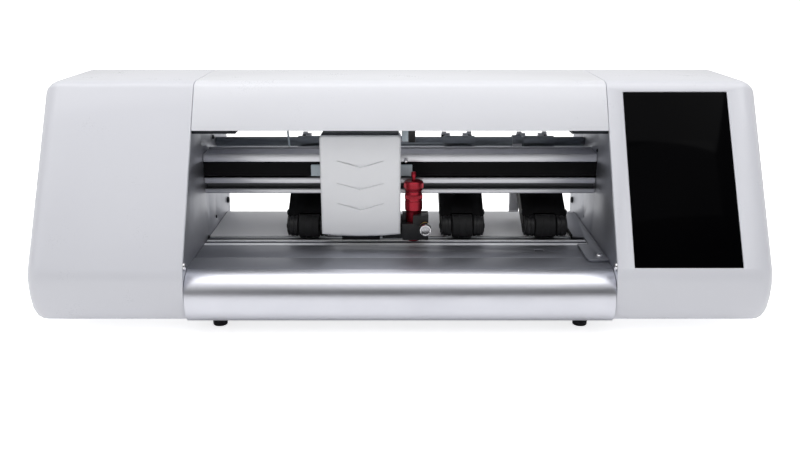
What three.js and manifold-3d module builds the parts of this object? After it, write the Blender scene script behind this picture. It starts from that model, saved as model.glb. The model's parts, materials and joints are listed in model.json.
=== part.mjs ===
// Desktop film and vinyl cutter, millimetres, +Z up, X to the machine's right, Y to its back.
// Origin: on the table under the middle of the machine.
import * as THREE from 'three';
import { ConvexGeometry } from 'three/addons/geometries/ConvexGeometry.js';
import { mergeVertices } from 'three/addons/utils/BufferGeometryUtils.js';
import Module from 'manifold-3d';

const wasm = await Module();
wasm.setup();

// ---- Driving dimensions -------------------------------------------------------------------
const bayWidth = 300; // clear width between the side plates
const podWidth = 110; // each side pod, outward from its side plate's inner face
const machineDepth = 185;
const machineHeight = 171.2;
const standGap = 10; // table to the underside
const fitGap = 0.3; // between pieces that touch
const runGap = 0.15; // round a shaft that turns
const shellWall = 3; // moulded covers
const plateThickness = 3; // side plates

// Side outline of the covers
const faceLean = THREE.MathUtils.degToRad(30.5); // the front face leans back this much
const faceFoot = 51.4; // height where the leaning face starts
const noseReach = 2.5; // how far the nose stands in front of the face's foot
const noseTuck = 14.5; // how far the underside's front edge is set back
const crownRound = 4.5;
const rearRound = 32;
const heelRound = 14;
const edgeRound = 12; // outer edges of the pods
const curveSteps = 6;

// Table that the film lies on
const tableHeight = 47.5;
const sheetWall = 2.5; // nose and guide plates
const noseBend = 24; // length of the rolled front edge
const plateSeam = -52.4; // joint between the nose and the platen
const nipLine = -1.4; // feed nip, along Y
const slotHalf = 3.8; // half the feed slot's width
const stripFront = -21.6;
const stripBack = -13.2;
const stripDepth = 1.1;
const strutWall = 2.5;
const basePanWall = 2;

// Feed
const feedRadius = 5;
const journalRadius = 3;
const bushWall = 3;
const bushFlange = 2;
const nipGap = 0.3;
const pressRadius = 9;
const pressWidth = 15.7;
const pressCentres = [-70.5, 48.3, 112.8];
const toothModule = 1;
const feedTeeth = 48;
const pinionTeeth = 12;
const gearWidth = 6;
const motorSize = 42.3;
const motorLength = 40;
const motorShaft = 2.5;

// Gantry
const beamFront = -5;
const beamDepth = 23;
const beamHeight = 30.6;
const beamDrop = 56.6; // machine top to beam top
const beltWidth = 10;
const beltThickness = 1.5;
const beltRadius = 5.25; // inside of the loop
const beltClear = 1.15; // above and below the belt in its channel
const beamLip = 6.1;

// Carriage
const coverWidth = 59.7;
const coverCentre = -29.15;
const coverFront = -30;
const coverBack = -13.6;
const coverRise = 18.8; // above the beam
const coverDrop = 26.6; // below the beam
const coverWall = 2;
const wheelRadius = 6;
const wheelWidth = 9;
const wheelAxle = 2.5;
const carriagePlate = 4.5;
const toolX = 10.3;
const toolY = -17.4;
const toolLift = 3.1; // holder's foot above the table when it is up
const holderRadius = 5.75;
const collarRadius = 6.3;
const capRadius = 7.3;
const thumbRadius = 4.3;

// Pinch lift
const liftRodRadius = 4;
const liftRodY = 49;
const liftRodDrop = 0.6; // rod's axis below the beam's top
const pivotY = 34;
const pivotRise = 28.5; // arm pivot above the table
const pivotRadius = 2;
const armWidth = 34;
const fingerPitch = 19.2;
const fingerWidth = 3;
const leverX = 95.2;
const leverWidth = 7.6;
const leverGap = 9.5; // lever tip's middle above the table

// Control side
const panelWidth = 74.4;
const panelLength = 129.5;
const panelGlass = 2;
const panelModule = 6;
const panelBorder = 4;
const panelFromPlate = 11.8; // side plate's inner face to the panel
const panelFromFoot = 1;
const footRadius = 5.5;
const footInset = 18.7; // feet inside the side plates

// ---- Derived places -----------------------------------------------------------------------
const halfBay = bayWidth / 2;
const halfDepth = machineDepth / 2;
const halfWidth = halfBay + podWidth;
const faceFootY = -halfDepth + noseReach;
const lipHeight = machineHeight - 33;
const coverTail = machineHeight - 46;
const feedAxis = tableHeight + 0.2 - feedRadius;
const pressAxis = tableHeight + 0.2 + nipGap + pressRadius;
const beamTop = machineHeight - beamDrop;
const beamBottom = beamTop - beamHeight;
const beltTop = beamTop - beamLip - beltClear;
const beltBottom = beltTop - beltWidth;
const beltY = beamFront + 2 * beltThickness + beltRadius;
const liftRodZ = beamTop - liftRodDrop;
const pivotZ = tableHeight + pivotRise;
const innerHalf = halfBay - fitGap;

// ---- Geometry helpers ---------------------------------------------------------------------
function solid(geometry) {
  const bare = geometry.index ? geometry.toNonIndexed() : geometry.clone();
  bare.deleteAttribute('normal');
  bare.deleteAttribute('uv');
  const merged = mergeVertices(bare, 1e-4);
  const vertProperties = new Float32Array(merged.attributes.position.array);
  const triVerts = new Uint32Array(merged.index.array);
  return new wasm.Manifold(new wasm.Mesh({ numProp: 3, vertProperties, triVerts }));
}

function geometryOf(body) {
  const mesh = body.getMesh();
  const geometry = new THREE.BufferGeometry();
  geometry.setAttribute('position', new THREE.BufferAttribute(mesh.vertProperties, 3));
  geometry.setIndex(new THREE.BufferAttribute(mesh.triVerts, 1));
  geometry.computeVertexNormals();
  return geometry;
}

const join = (first, ...others) => others.reduce((body, other) => body.add(other), first);
const cut = (first, ...others) => others.reduce((body, other) => body.subtract(other), first);

function block(low, high) {
  const size = high.map((value, i) => value - low[i]);
  const geometry = new THREE.BoxGeometry(...size);
  geometry.translate(...high.map((value, i) => (value + low[i]) / 2));
  return solid(geometry);
}

const axisTurns = {
  x: new THREE.Matrix4().makeRotationZ(-Math.PI / 2),
  y: new THREE.Matrix4(),
  z: new THREE.Matrix4().makeRotationX(Math.PI / 2),
};

// Cylinder or cone along an axis, from start to end along it, centred on the other two values.
function rod(axis, centre, start, end, radius, options = {}) {
  const { endRadius = radius, sides = 24 } = options;
  const geometry = new THREE.CylinderGeometry(endRadius, radius, end - start, sides);
  geometry.applyMatrix4(axisTurns[axis]);
  const middle = (start + end) / 2;
  const [a, b] = centre;
  const place = { x: [middle, a, b], y: [a, middle, b], z: [a, b, middle] }[axis];
  geometry.translate(...place);
  return solid(geometry);
}

// Prism along X of an outline in (y, z).
const alongX = new THREE.Matrix4().makeBasis(
  new THREE.Vector3(0, 1, 0), new THREE.Vector3(0, 0, 1), new THREE.Vector3(1, 0, 0));

function prismX(points, from, to) {
  const shape = new THREE.Shape(points);
  const geometry = new THREE.ExtrudeGeometry(shape, { depth: to - from, bevelEnabled: false });
  geometry.applyMatrix4(alongX);
  geometry.translate(from, 0, 0);
  return solid(geometry);
}

const pairs = list => list.map(([y, z]) => new THREE.Vector2(y, z));

// Moves each point of a line sideways, to its left, by a distance.
function offsetLine(points, distance, closed) {
  const count = points.length;
  const normal = (from, to) => {
    const along = to.clone().sub(from).normalize();
    return new THREE.Vector2(-along.y, along.x);
  };
  return points.map((point, i) => {
    const before = points[closed ? (i - 1 + count) % count : Math.max(i - 1, 0)];
    const after = points[closed ? (i + 1) % count : Math.min(i + 1, count - 1)];
    const first = before === point ? normal(point, after) : normal(before, point);
    const second = after === point ? first : normal(point, after);
    const middle = first.clone().add(second).normalize();
    return point.clone().addScaledVector(middle, distance / middle.dot(first));
  });
}

// Bent sheet: an open line with a wall on its left side.
function sheetX(points, wall, from, to) {
  const inner = offsetLine(points, wall, false).reverse();
  return prismX([...points, ...inner], from, to);
}

// Outline of two circles joined by their tangents, for levers and links.
function linkOutline(first, firstRadius, second, secondRadius, steps = 6) {
  const reach = Math.hypot(second[0] - first[0], second[1] - first[1]);
  const heading = Math.atan2(second[1] - first[1], second[0] - first[0]);
  const flare = Math.acos((firstRadius - secondRadius) / reach);
  const points = [];
  for (let i = 0; i <= steps; i += 1) {
    const angle = heading + flare + (2 * Math.PI - 2 * flare) * (i / steps);
    points.push([first[0] + firstRadius * Math.cos(angle), first[1] + firstRadius * Math.sin(angle)]);
  }
  for (let i = 0; i <= steps; i += 1) {
    const angle = heading - flare + 2 * flare * (i / steps);
    points.push([second[0] + secondRadius * Math.cos(angle), second[1] + secondRadius * Math.sin(angle)]);
  }
  return pairs(points);
}

// ---- Side outline of the covers, front to back over the top, in (y, z) ---------------------
const faceYAt = height => faceFootY + (height - faceFoot) * Math.tan(faceLean);

function coverOutline() {
  const path = new THREE.Path();
  const noseSlack = 11;
  path.moveTo(-halfDepth + noseTuck, standGap);
  path.bezierCurveTo(
    -halfDepth + 0.5, standGap,
    faceFootY - noseSlack * Math.sin(faceLean), faceFoot - noseSlack * Math.cos(faceLean),
    faceFootY, faceFoot);
  path.lineTo(faceYAt(machineHeight - crownRound), machineHeight - crownRound);
  const crownY = faceYAt(machineHeight);
  path.quadraticCurveTo(crownY, machineHeight, crownY + 2 * crownRound, machineHeight);
  path.lineTo(halfDepth - rearRound, machineHeight);
  const slack = rearRound * 0.45;
  path.bezierCurveTo(
    halfDepth - slack, machineHeight, halfDepth, machineHeight - slack,
    halfDepth, machineHeight - rearRound);
  path.lineTo(halfDepth, standGap + heelRound);
  path.quadraticCurveTo(halfDepth, standGap, halfDepth - heelRound, standGap);
  return path.getPoints(curveSteps);
}

const outline = coverOutline();
const insetOutline = distance => offsetLine(outline, -distance, true);

// Point is at least a distance inside every edge of the outline.
function deepEnough(point, distance) {
  return outline.every((corner, i) => {
    const next = outline[(i + 1) % outline.length];
    const along = next.clone().sub(corner).normalize();
    const depth = along.y * (point.x - corner.x) - along.x * (point.y - corner.y);
    return depth > distance - 0.01;
  });
}

// Half body from one X to another, its far end rounded over, of the outline set in by a distance.
function roundedBody(from, to, inset) {
  const side = Math.sign(to);
  const round = edgeRound - inset;
  const points = insetOutline(inset).map(({ x, y }) => new THREE.Vector3(from, x, y));
  const layers = 5;
  for (let layer = 0; layer <= layers; layer += 1) {
    const turn = layer / layers * Math.PI / 2;
    const depth = inset + round * (1 - Math.cos(turn));
    const x = to - side * round * (1 - Math.sin(turn));
    for (const corner of insetOutline(depth)) {
      if (deepEnough(corner, depth)) {
        points.push(new THREE.Vector3(x, corner.x, corner.y));
      }
    }
  }
  return solid(new ConvexGeometry(points));
}

const far = 400; // beyond every face, for cutting

// ---- Scene --------------------------------------------------------------------------------
const machine = new THREE.Group();

const finishes = {
  gloss: [0xe6e6ee, 0.3, 0],
  satin: [0xb4b6bc, 0.38, 0.85],
  darkAnodised: [0x2c2d2f, 0.45, 0.6],
  steel: [0xc8c8cc, 0.28, 1],
  black: [0x101011, 0.5, 0],
  rubber: [0x161616, 0.8, 0],
  glass: [0x020202, 0.08, 0],
  pale: [0xd8dce0, 0.5, 0],
  red: [0xb4192d, 0.3, 0.6],
  brass: [0xb59a4a, 0.3, 1],
  board: [0x1c5a36, 0.6, 0],
};

function addPart(name, body, finish, place = [0, 0, 0]) {
  const [color, roughness, metalness] = finishes[finish];
  const material = new THREE.MeshStandardMaterial({ color, roughness, metalness });
  const mesh = new THREE.Mesh(geometryOf(body), material);
  mesh.name = name;
  mesh.position.set(...place);
  machine.add(mesh);
  return mesh;
}

// ---- Covers -------------------------------------------------------------------------------
function podShell(side) {
  const outer = roundedBody(side * halfBay, side * halfWidth, 0);
  const hollow = roundedBody(side * (halfBay - 1), side * (halfWidth - shellWall), shellWall);
  return cut(outer, hollow);
}

// A block lying on the leaning face: x span, distance up the face, depth into it.
function faceBlock(xLow, xHigh, up, length, out, into) {
  const rise = new THREE.Vector2(Math.sin(faceLean), Math.cos(faceLean));
  const inward = new THREE.Vector2(Math.cos(faceLean), -Math.sin(faceLean));
  const foot = new THREE.Vector2(faceFootY, faceFoot);
  const at = (along, depth) => foot.clone().addScaledVector(rise, along).addScaledVector(inward, depth);
  const corners = [at(up, -out), at(up, into), at(up + length, into), at(up + length, -out)];
  return prismX(corners, xLow, xHigh);
}

const panelLow = halfBay + panelFromPlate;
const panelHigh = panelLow + panelWidth;
const panelProud = 0.2;
const moduleReach = panelGlass + panelModule;

function touchPanel() {
  const glass = faceBlock(panelLow, panelHigh, panelFromFoot, panelLength, panelProud,
    panelGlass - panelProud);
  const display = faceBlock(panelLow + panelBorder, panelHigh - panelBorder,
    panelFromFoot + panelBorder, panelLength - 2 * panelBorder, 0, moduleReach);
  return join(glass, display);
}

function panelWindow() {
  const rebate = faceBlock(panelLow - fitGap, panelHigh + fitGap, panelFromFoot - fitGap,
    panelLength + 2 * fitGap, 2 * edgeRound, panelGlass + 0.1);
  const window = faceBlock(panelLow + panelBorder - fitGap, panelHigh - panelBorder + fitGap,
    panelFromFoot + panelBorder - fitGap, panelLength - 2 * panelBorder + 2 * fitGap, 0,
    moduleReach + 2);
  return join(rebate, window);
}

const rearWall = halfDepth - shellWall;
const inletX = halfBay + 32;
const inletZ = 42;
const inletSize = [27, 20];
const inletDepth = 24;
const inletWell = [24, 16.4];
const inletWellDepth = 16;
const inletRim = 2.5;
const switchX = halfBay + 64;
const switchSize = [21, 14.5];
const switchDepth = 14;
const usbX = halfWidth - 26;
const usbSize = [12, 11];
const usbWell = [9, 8];
const usbLength = 17;
const portRecess = 0.3; // sockets' faces behind the rear wall's face

const rearBlock = (x, z, size, front, back) =>
  block([x - size[0] / 2, front, z - size[1] / 2], [x + size[0] / 2, back, z + size[1] / 2]);

function rearHole(x, size) {
  const clear = size.map(value => value + 2 * fitGap);
  return rearBlock(x, inletZ, clear, rearWall - 1, halfDepth + 1);
}

const rightPod = cut(podShell(1), panelWindow(), rearHole(inletX, inletSize),
  rearHole(switchX, switchSize), rearHole(usbX, usbSize));

addPart('left_pod_cover', podShell(-1), 'gloss');
addPart('right_pod_cover', rightPod, 'gloss');
addPart('touch_panel', touchPanel(), 'glass');

const topSpan = halfBay - fitGap;
const topSplit = liftRodY;

function topCover() {
  const outer = prismX(outline, -topSpan, topSpan);
  const hollow = prismX(insetOutline(shellWall), -halfBay, halfBay);
  const front = block([-halfBay, -far, -far], [halfBay, topSplit, lipHeight]);
  const back = block([-halfBay, topSplit - 1, -far], [halfBay, far, coverTail]);
  return cut(outer, hollow, front, back);
}

addPart('top_cover', topCover(), 'gloss');

const tabWidth = 31.5;
const tabWall = 2.2;

// Angle under the cover's front corner that holds it to the side plate.
function coverTab(side) {
  const top = lipHeight - fitGap;
  const outer = side * innerHalf;
  const span = width => [outer, side * (innerHalf - width)].sort((a, b) => a - b);
  const [low, high] = span(tabWidth);
  const frontY = faceYAt(lipHeight) + 2;
  return block([low, frontY, top - tabWall], [high, frontY + 22, top]);
}

addPart('cover_tab_left', coverTab(-1), 'darkAnodised');
addPart('cover_tab_right', coverTab(1), 'darkAnodised');

// ---- Frame --------------------------------------------------------------------------------
const beltReach = beltRadius + beltThickness;
const bushOuter = journalRadius + runGap + bushWall;
const rodEnd = 3;
const frameOutline = insetOutline(shellWall + fitGap);

function sidePlate(side) {
  const inner = side * halfBay;
  const outer = side * (halfBay + plateThickness);
  const [low, high] = [Math.min(inner, outer), Math.max(inner, outer)];
  const plate = prismX(frameOutline, low, high);
  const beltHole = block([low - 1, beltY - beltReach - 1.2, beltBottom - 1.5],
    [high + 1, beltY + beltReach + 1.2, beltTop + 1.5]);
  const bushHole = rod('x', [nipLine, feedAxis], low - 1, high + 1, bushOuter + fitGap);
  const liftHole = rod('x', [liftRodY, liftRodZ], low - 1, high + 1, rodEnd + runGap, { sides: 16 });
  const smallHole = rod('x', [31, tableHeight + 8], low - 1, high + 1, 1.4, { sides: 10 });
  const rearHoleY = halfDepth - 12;
  const wireHole = rod('x', [rearHoleY, tableHeight + 9], low - 1, high + 1, 2.7, { sides: 12 });
  return cut(plate, beltHole, bushHole, liftHole, smallHole, wireHole);
}

addPart('left_side_plate', sidePlate(-1), 'satin');
addPart('right_side_plate', sidePlate(1), 'satin');

const noseCrest = -halfDepth + noseBend;
const noseBottomEnd = -halfDepth + 20;

function frontNose() {
  const path = new THREE.Path();
  path.moveTo(noseBottomEnd, standGap);
  path.lineTo(-halfDepth + noseTuck, standGap);
  path.bezierCurveTo(-halfDepth + 5, standGap, -halfDepth + 0.2, standGap + 6,
    -halfDepth + 0.2, tableHeight - 19);
  path.bezierCurveTo(-halfDepth + 0.2, tableHeight - 7, -halfDepth + 9, tableHeight,
    noseCrest, tableHeight);
  path.lineTo(plateSeam - fitGap, tableHeight);
  const points = path.getPoints(10);
  return sheetX(points, -sheetWall, -innerHalf, innerHalf);
}

addPart('front_nose', frontNose(), 'satin');

const panTop = standGap + basePanWall;
const panBack = halfDepth - 5.6;
const feetX = halfBay - footInset;
const feetFront = -halfDepth + 29.5;
const feetBack = halfDepth - 24;
const studRadius = 2;
const feetSpots = [[-feetX, feetFront], [feetX, feetFront], [-feetX, feetBack], [feetX, feetBack]];

function basePan() {
  const pan = block([-innerHalf, noseBottomEnd + fitGap, standGap], [innerHalf, panBack, panTop]);
  const holes = feetSpots.map(spot =>
    rod('z', spot, standGap - 1, panTop + 1, studRadius + fitGap, { sides: 16 }));
  return cut(pan, ...holes);
}

addPart('base_pan', basePan(), 'satin');

const slotFront = nipLine - slotHalf;
const slotBack = nipLine + slotHalf;
const plateUnder = tableHeight - sheetWall - 0.5;
const strutFoot = panTop + fitGap;
const sensorX = 104;
const sensorY = -35;
const sensorSize = [7, 4];

function strut(y) {
  return block([-innerHalf, y, strutFoot], [innerHalf, y + strutWall, plateUnder + 0.5]);
}

const rollerRelief = () =>
  rod('x', [nipLine, feedAxis], -halfBay, halfBay, feedRadius + 0.6, { sides: 28 });

function platen() {
  const top = block([-innerHalf, plateSeam, plateUnder], [innerHalf, slotFront, tableHeight]);
  const groove = block([-halfBay, stripFront - fitGap, tableHeight - stripDepth],
    [halfBay, stripBack + fitGap, far]);
  const sensorHole = block([sensorX - sensorSize[0] / 2, sensorY - sensorSize[1] / 2, 0],
    [sensorX + sensorSize[0] / 2, sensorY + sensorSize[1] / 2, far]);
  const body = join(top, strut(plateSeam + 2), strut(slotFront - 9));
  return cut(body, groove, sensorHole, rollerRelief());
}

addPart('platen', platen(), 'satin');

function rearGuide() {
  const path = new THREE.Path();
  const bendStart = halfDepth - 19;
  const edge = halfDepth - 2.6;
  path.moveTo(slotBack, tableHeight);
  path.lineTo(bendStart, tableHeight);
  path.quadraticCurveTo(edge, tableHeight, edge, tableHeight - 16);
  path.lineTo(edge, standGap);
  const sheet = sheetX(path.getPoints(8), -sheetWall, -innerHalf, innerHalf);
  return cut(join(sheet, strut(slotBack + 6)), rollerRelief());
}

addPart('rear_guide_plate', rearGuide(), 'satin');

function cuttingStrip() {
  const bottom = tableHeight - stripDepth + fitGap;
  return block([-innerHalf, stripFront, bottom], [innerHalf, stripBack, tableHeight]);
}

addPart('cutting_strip', cuttingStrip(), 'pale');

function mediaSensor() {
  const [width, depth] = sensorSize.map(value => value - 2 * fitGap);
  const lens = block([-width / 2, -depth / 2, -8], [width / 2, depth / 2, -0.6]);
  const body = block([-10, -7, -12], [10, 7, plateUnder - tableHeight - fitGap]);
  return join(lens, body);
}

addPart('media_sensor', mediaSensor(), 'black', [sensorX, sensorY, tableHeight]);

const guideX = halfBay - 15.5;
const guideWall = 1.8;
const guideRound = 6;
const guideNotch = 8.5;

function edgeGuide() {
  const shape = new THREE.Shape();
  const frontY = noseCrest + 5;
  const backY = halfDepth - 27;
  shape.moveTo(guideX + guideRound, frontY);
  shape.quadraticCurveTo(guideX, frontY, guideX, frontY + guideRound);
  shape.lineTo(guideX, stripFront - 3);
  shape.lineTo(guideX + guideNotch, stripFront - 3);
  shape.lineTo(guideX + guideNotch, slotFront);
  shape.lineTo(guideX, slotFront + 1);
  shape.lineTo(guideX, backY);
  shape.lineTo(innerHalf, backY);
  shape.lineTo(innerHalf, frontY);
  const geometry = new THREE.ExtrudeGeometry(shape, {
    depth: guideWall, bevelEnabled: false, curveSegments: 6,
  });
  geometry.translate(0, 0, tableHeight + fitGap);
  const clearRoller = rod('x', [nipLine, feedAxis], -far, far, feedRadius + 0.6, { sides: 28 });
  const screwHole = rod('z', [halfBay - 5.5, frontY + 8], 0, far, 1.7, { sides: 14 });
  return cut(solid(geometry), clearRoller, screwHole);
}

addPart('edge_guide', edgeGuide(), 'satin');

function foot() {
  const pad = rod('z', [0, 0], 0, standGap - fitGap, footRadius - 1, { endRadius: footRadius });
  const stud = rod('z', [0, 0], standGap - 1, panTop + 3, studRadius, { sides: 16 });
  return join(pad, stud);
}

const feetNames = ['foot_front_left', 'foot_front_right', 'foot_rear_left', 'foot_rear_right'];
feetSpots.forEach(([x, y], i) => addPart(feetNames[i], foot(), 'rubber', [x, y, 0]));

// ---- Gantry -------------------------------------------------------------------------------
const channelBack = beltY + beltReach + 1;
const channelLow = beltBottom - beltClear;
const channelHigh = beltTop + beltClear;
const grooveDepth = 5;
const rearLip = [2.5, 1.4]; // thickness and height of the lip along the beam's rear top edge

function gantryBeam() {
  const back = beamFront + beamDepth;
  const grooveLow = beamBottom + 3.4;
  const grooveHigh = beamBottom + 7.8;
  const [lipWall, lipRise] = rearLip;
  const section = pairs([
    [beamFront, beamBottom], [back, beamBottom], [back, beamTop + lipRise],
    [back - lipWall, beamTop + lipRise], [back - lipWall, beamTop], [beamFront, beamTop],
    [beamFront, channelHigh], [channelBack, channelHigh], [channelBack, channelLow],
    [beamFront, channelLow], [beamFront, grooveHigh], [beamFront + grooveDepth, grooveHigh],
    [beamFront + grooveDepth, grooveLow], [beamFront, grooveLow],
  ]);
  return prismX(section, -innerHalf, innerHalf);
}

addPart('gantry_beam', gantryBeam(), 'satin');

const drivePulleyX = halfBay + 28;
const idlerX = -halfBay - 18;

function beltLoop(radius) {
  const shape = new THREE.Shape();
  shape.absarc(drivePulleyX, beltY, radius, -Math.PI / 2, Math.PI / 2);
  shape.absarc(idlerX, beltY, radius, Math.PI / 2, Math.PI * 1.5);
  return shape;
}

function carriageBelt() {
  const shape = beltLoop(beltRadius + beltThickness);
  shape.holes.push(new THREE.Path(beltLoop(beltRadius).getPoints(10)));
  const geometry = new THREE.ExtrudeGeometry(shape, {
    depth: beltWidth, bevelEnabled: false, curveSegments: 10,
  });
  geometry.translate(0, 0, beltBottom);
  return solid(geometry);
}

addPart('carriage_belt', carriageBelt(), 'rubber');

const pulleyFlange = 1.5;

function pulley() {
  const drum = rod('z', [0, 0], -pulleyFlange, beltWidth + pulleyFlange, beltRadius - fitGap,
    { sides: 20 });
  const flange = low => rod('z', [0, 0], low, low + pulleyFlange, beltReach + 0.6, { sides: 20 });
  return join(drum, flange(-pulleyFlange - fitGap), flange(beltWidth + fitGap));
}

const bracketWall = 2.5;
const motorTop = beltBottom - 5;
const motorGap = 0.6;

function drivePulley() {
  const shaft = rod('z', [0, 0], motorTop - 12 - beltBottom, beltWidth + 2, motorShaft);
  return join(pulley(), shaft);
}

addPart('belt_drive_pulley', drivePulley(), 'steel', [drivePulleyX, beltY, beltBottom]);

function carriageMotor() {
  const half = motorSize / 2;
  const body = block([-half, -half, -motorLength], [half, half, 0]);
  const legX = halfBay + plateThickness + fitGap - drivePulleyX;
  const shelf = block([legX, -half, 0], [half, half, bracketWall]);
  const leg = block([legX, -half, -motorLength / 2], [legX + bracketWall, half, bracketWall]);
  const bore = rod('z', [0, 0], -14, bracketWall + 1, motorShaft + motorGap);
  return cut(join(body, shelf, leg), bore);
}

addPart('carriage_motor', carriageMotor(), 'black', [drivePulleyX, beltY, motorTop]);

const idlerPin = 2;

function idlerPulley() {
  const bore = rod('z', [0, 0], -far, far, idlerPin + runGap);
  return cut(pulley(), bore);
}

addPart('belt_idler_pulley', idlerPulley(), 'steel', [idlerX, beltY, beltBottom]);

function idlerBracket() {
  const wallX = -halfBay - plateThickness - fitGap - idlerX;
  const reach = beltReach + 3;
  const low = -pulleyFlange - fitGap - 1;
  const high = beltWidth + pulleyFlange + fitGap + 1;
  const shelf = z => block([-reach, -reach, z], [wallX, reach, z + bracketWall]);
  const leg = block([wallX - bracketWall, -reach, high], [wallX, reach, high + 12]);
  const pin = rod('z', [0, 0], low - 1, high + 1, idlerPin, { sides: 16 });
  const spine = block([-reach - bracketWall, -reach, low - bracketWall],
    [-reach, reach, high + bracketWall]);
  return join(shelf(low - bracketWall), shelf(high), leg, pin, spine);
}

addPart('idler_bracket', idlerBracket(), 'steel', [idlerX, beltY, beltBottom]);

// ---- Feed drive ---------------------------------------------------------------------------
const gearX = -(halfBay + plateThickness + 5 + gearWidth);

function driveRoller() {
  const half = halfBay - 1;
  const barrel = rod('x', [0, 0], -half, half, feedRadius, { sides: 28 });
  const shaft = rod('x', [0, 0], gearX - 1, halfBay + plateThickness + 3, journalRadius);
  return join(barrel, shaft);
}

const driveRollerPart = addPart('drive_roller', driveRoller(), 'steel', [0, nipLine, feedAxis]);

function driveBush(side) {
  const inner = halfBay;
  const outer = halfBay + plateThickness + fitGap;
  const [a, b] = [side * inner, side * outer];
  const sleeve = rod('x', [0, 0], Math.min(a, b), Math.max(a, b), bushOuter);
  const tip = side * (outer + bushFlange);
  const collar = rod('x', [0, 0], Math.min(b, tip), Math.max(b, tip), bushOuter + 2);
  const bore = rod('x', [0, 0], -far, far, journalRadius + runGap);
  return cut(join(sleeve, collar), bore);
}

addPart('drive_bush_left', driveBush(-1), 'brass', driveRollerPart.position.toArray());
addPart('drive_bush_right', driveBush(1), 'brass', driveRollerPart.position.toArray());

// Toothed wheel with straight-sided teeth, slim enough to mesh without touching.
function gearOutline(teeth, startAngle) {
  const pitch = teeth * toothModule / 2;
  const steps = [[-0.30, -1.1], [-0.15, 0.8], [0.15, 0.8], [0.30, -1.1]];
  const points = [];
  for (let tooth = 0; tooth < teeth; tooth += 1) {
    for (const [turn, rise] of steps) {
      const angle = startAngle + (tooth + turn) * 2 * Math.PI / teeth;
      const radius = pitch + rise * toothModule;
      points.push([radius * Math.cos(angle), radius * Math.sin(angle)]);
    }
  }
  return pairs(points);
}

const meshAngle = THREE.MathUtils.degToRad(60);
const gearSpacing = (feedTeeth + pinionTeeth) * toothModule / 2;
const toothCentred = meshAngle;
const gapCentred = meshAngle + Math.PI + Math.PI / pinionTeeth;
const keyWidth = 0.2;

function feedGear() {
  const wheel = prismX(gearOutline(feedTeeth, toothCentred), 0, gearWidth);
  return cut(wheel, rod('x', [0, 0], -far, far, journalRadius + keyWidth));
}

addPart('feed_gear', feedGear(), 'brass', [gearX, nipLine, feedAxis]);

const motorY = nipLine + gearSpacing * Math.cos(meshAngle);
const motorZ = feedAxis + gearSpacing * Math.sin(meshAngle);
const motorFace = -6;

function feedPinion() {
  const wheel = prismX(gearOutline(pinionTeeth, gapCentred), 0, gearWidth);
  const shaft = rod('x', [0, 0], motorFace - 12, gearWidth, motorShaft);
  return join(wheel, shaft);
}

addPart('feed_pinion', feedPinion(), 'steel', [gearX, motorY, motorZ]);

function feedMotor() {
  const half = motorSize / 2;
  const post = half - 5.7;
  const wallX = -halfBay - plateThickness - fitGap - gearX;
  const body = block([motorFace - motorLength, -half, -half], [motorFace, half, half]);
  const posts = [[post, post], [post, -post], [-post, post]].map(spot =>
    rod('x', spot, motorFace - 1, wallX, 3, { sides: 14 }));
  const bore = rod('x', [0, 0], motorFace - 14, motorFace + 1, motorShaft + motorGap);
  return cut(join(body, ...posts), bore);
}

addPart('feed_motor', feedMotor(), 'black', [gearX, motorY, motorZ]);

// ---- Pinch units --------------------------------------------------------------------------
const forkInner = pressWidth / 2 + 0.5;
const armHalf = armWidth / 2;
const rollerPin = 2.2;
const lugHalf = 6;
const rollerPlace = [nipLine - pivotY, pressAxis - pivotZ];
const tailReach = halfDepth - 5 - pivotY;
const tailRise = liftRodZ - 7.6 - pivotZ;

function pinchArm() {
  const link = linkOutline(rollerPlace, 5.5, [0, 0], 7.5);
  const body = prismX(link, -armHalf, armHalf);
  const tower = prismX(linkOutline([0, 0], 7.5, [3, 14], 5), -armHalf, armHalf);
  const wheelSpace = rod('x', rollerPlace, -forkInner, forkInner, pressRadius + 1.2, { sides: 28 });
  const noseSpace = block([-forkInner, rollerPlace[0] - far, -far],
    [forkInner, rollerPlace[0], far]);
  const axle = rod('x', rollerPlace, -forkInner - 1, forkInner + 1, rollerPin, { sides: 16 });
  const lugSpace = block([-lugHalf - fitGap, -9, -9], [lugHalf + fitGap, far, far]);
  const tail = side => {
    const middle = side * fingerPitch / 2;
    const low = middle - fingerWidth / 2;
    const high = middle + fingerWidth / 2;
    const knee = [9, tailRise - 4];
    const tip = [tailReach, tailRise];
    const rise = prismX(linkOutline([3, 8], 4, knee, 3, 3), low, high);
    const finger = prismX(linkOutline(knee, 3, tip, 2, 3), low, high);
    const across = (near, wide) => [side * near, side * wide].sort((a, b) => a - b);
    const [stepLow, stepHigh] = across(5.3, 13);
    const [hornLow, hornHigh] = across(10, 13);
    const step = block([stepLow, tip[0] - 3.5, tip[1] - 1], [stepHigh, tip[0] + 1.5, tip[1] + 5.3]);
    const horn = block([hornLow, tip[0] - 3.5, tip[1]], [hornHigh, tip[0] + 1.5, tip[1] + 7.3]);
    return join(rise, finger, step, horn);
  };
  const bore = rod('x', [0, 0], -far, far, pivotRadius + runGap, { sides: 16 });
  const bar = block([-fingerPitch / 2, tailReach - 6, tailRise - 1.5],
    [fingerPitch / 2, tailReach - 2, tailRise + 1.2]);
  const fork = cut(join(body, tower), wheelSpace, noseSpace, lugSpace, bore);
  return join(fork, tail(-1), tail(1), bar, axle);
}

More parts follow.
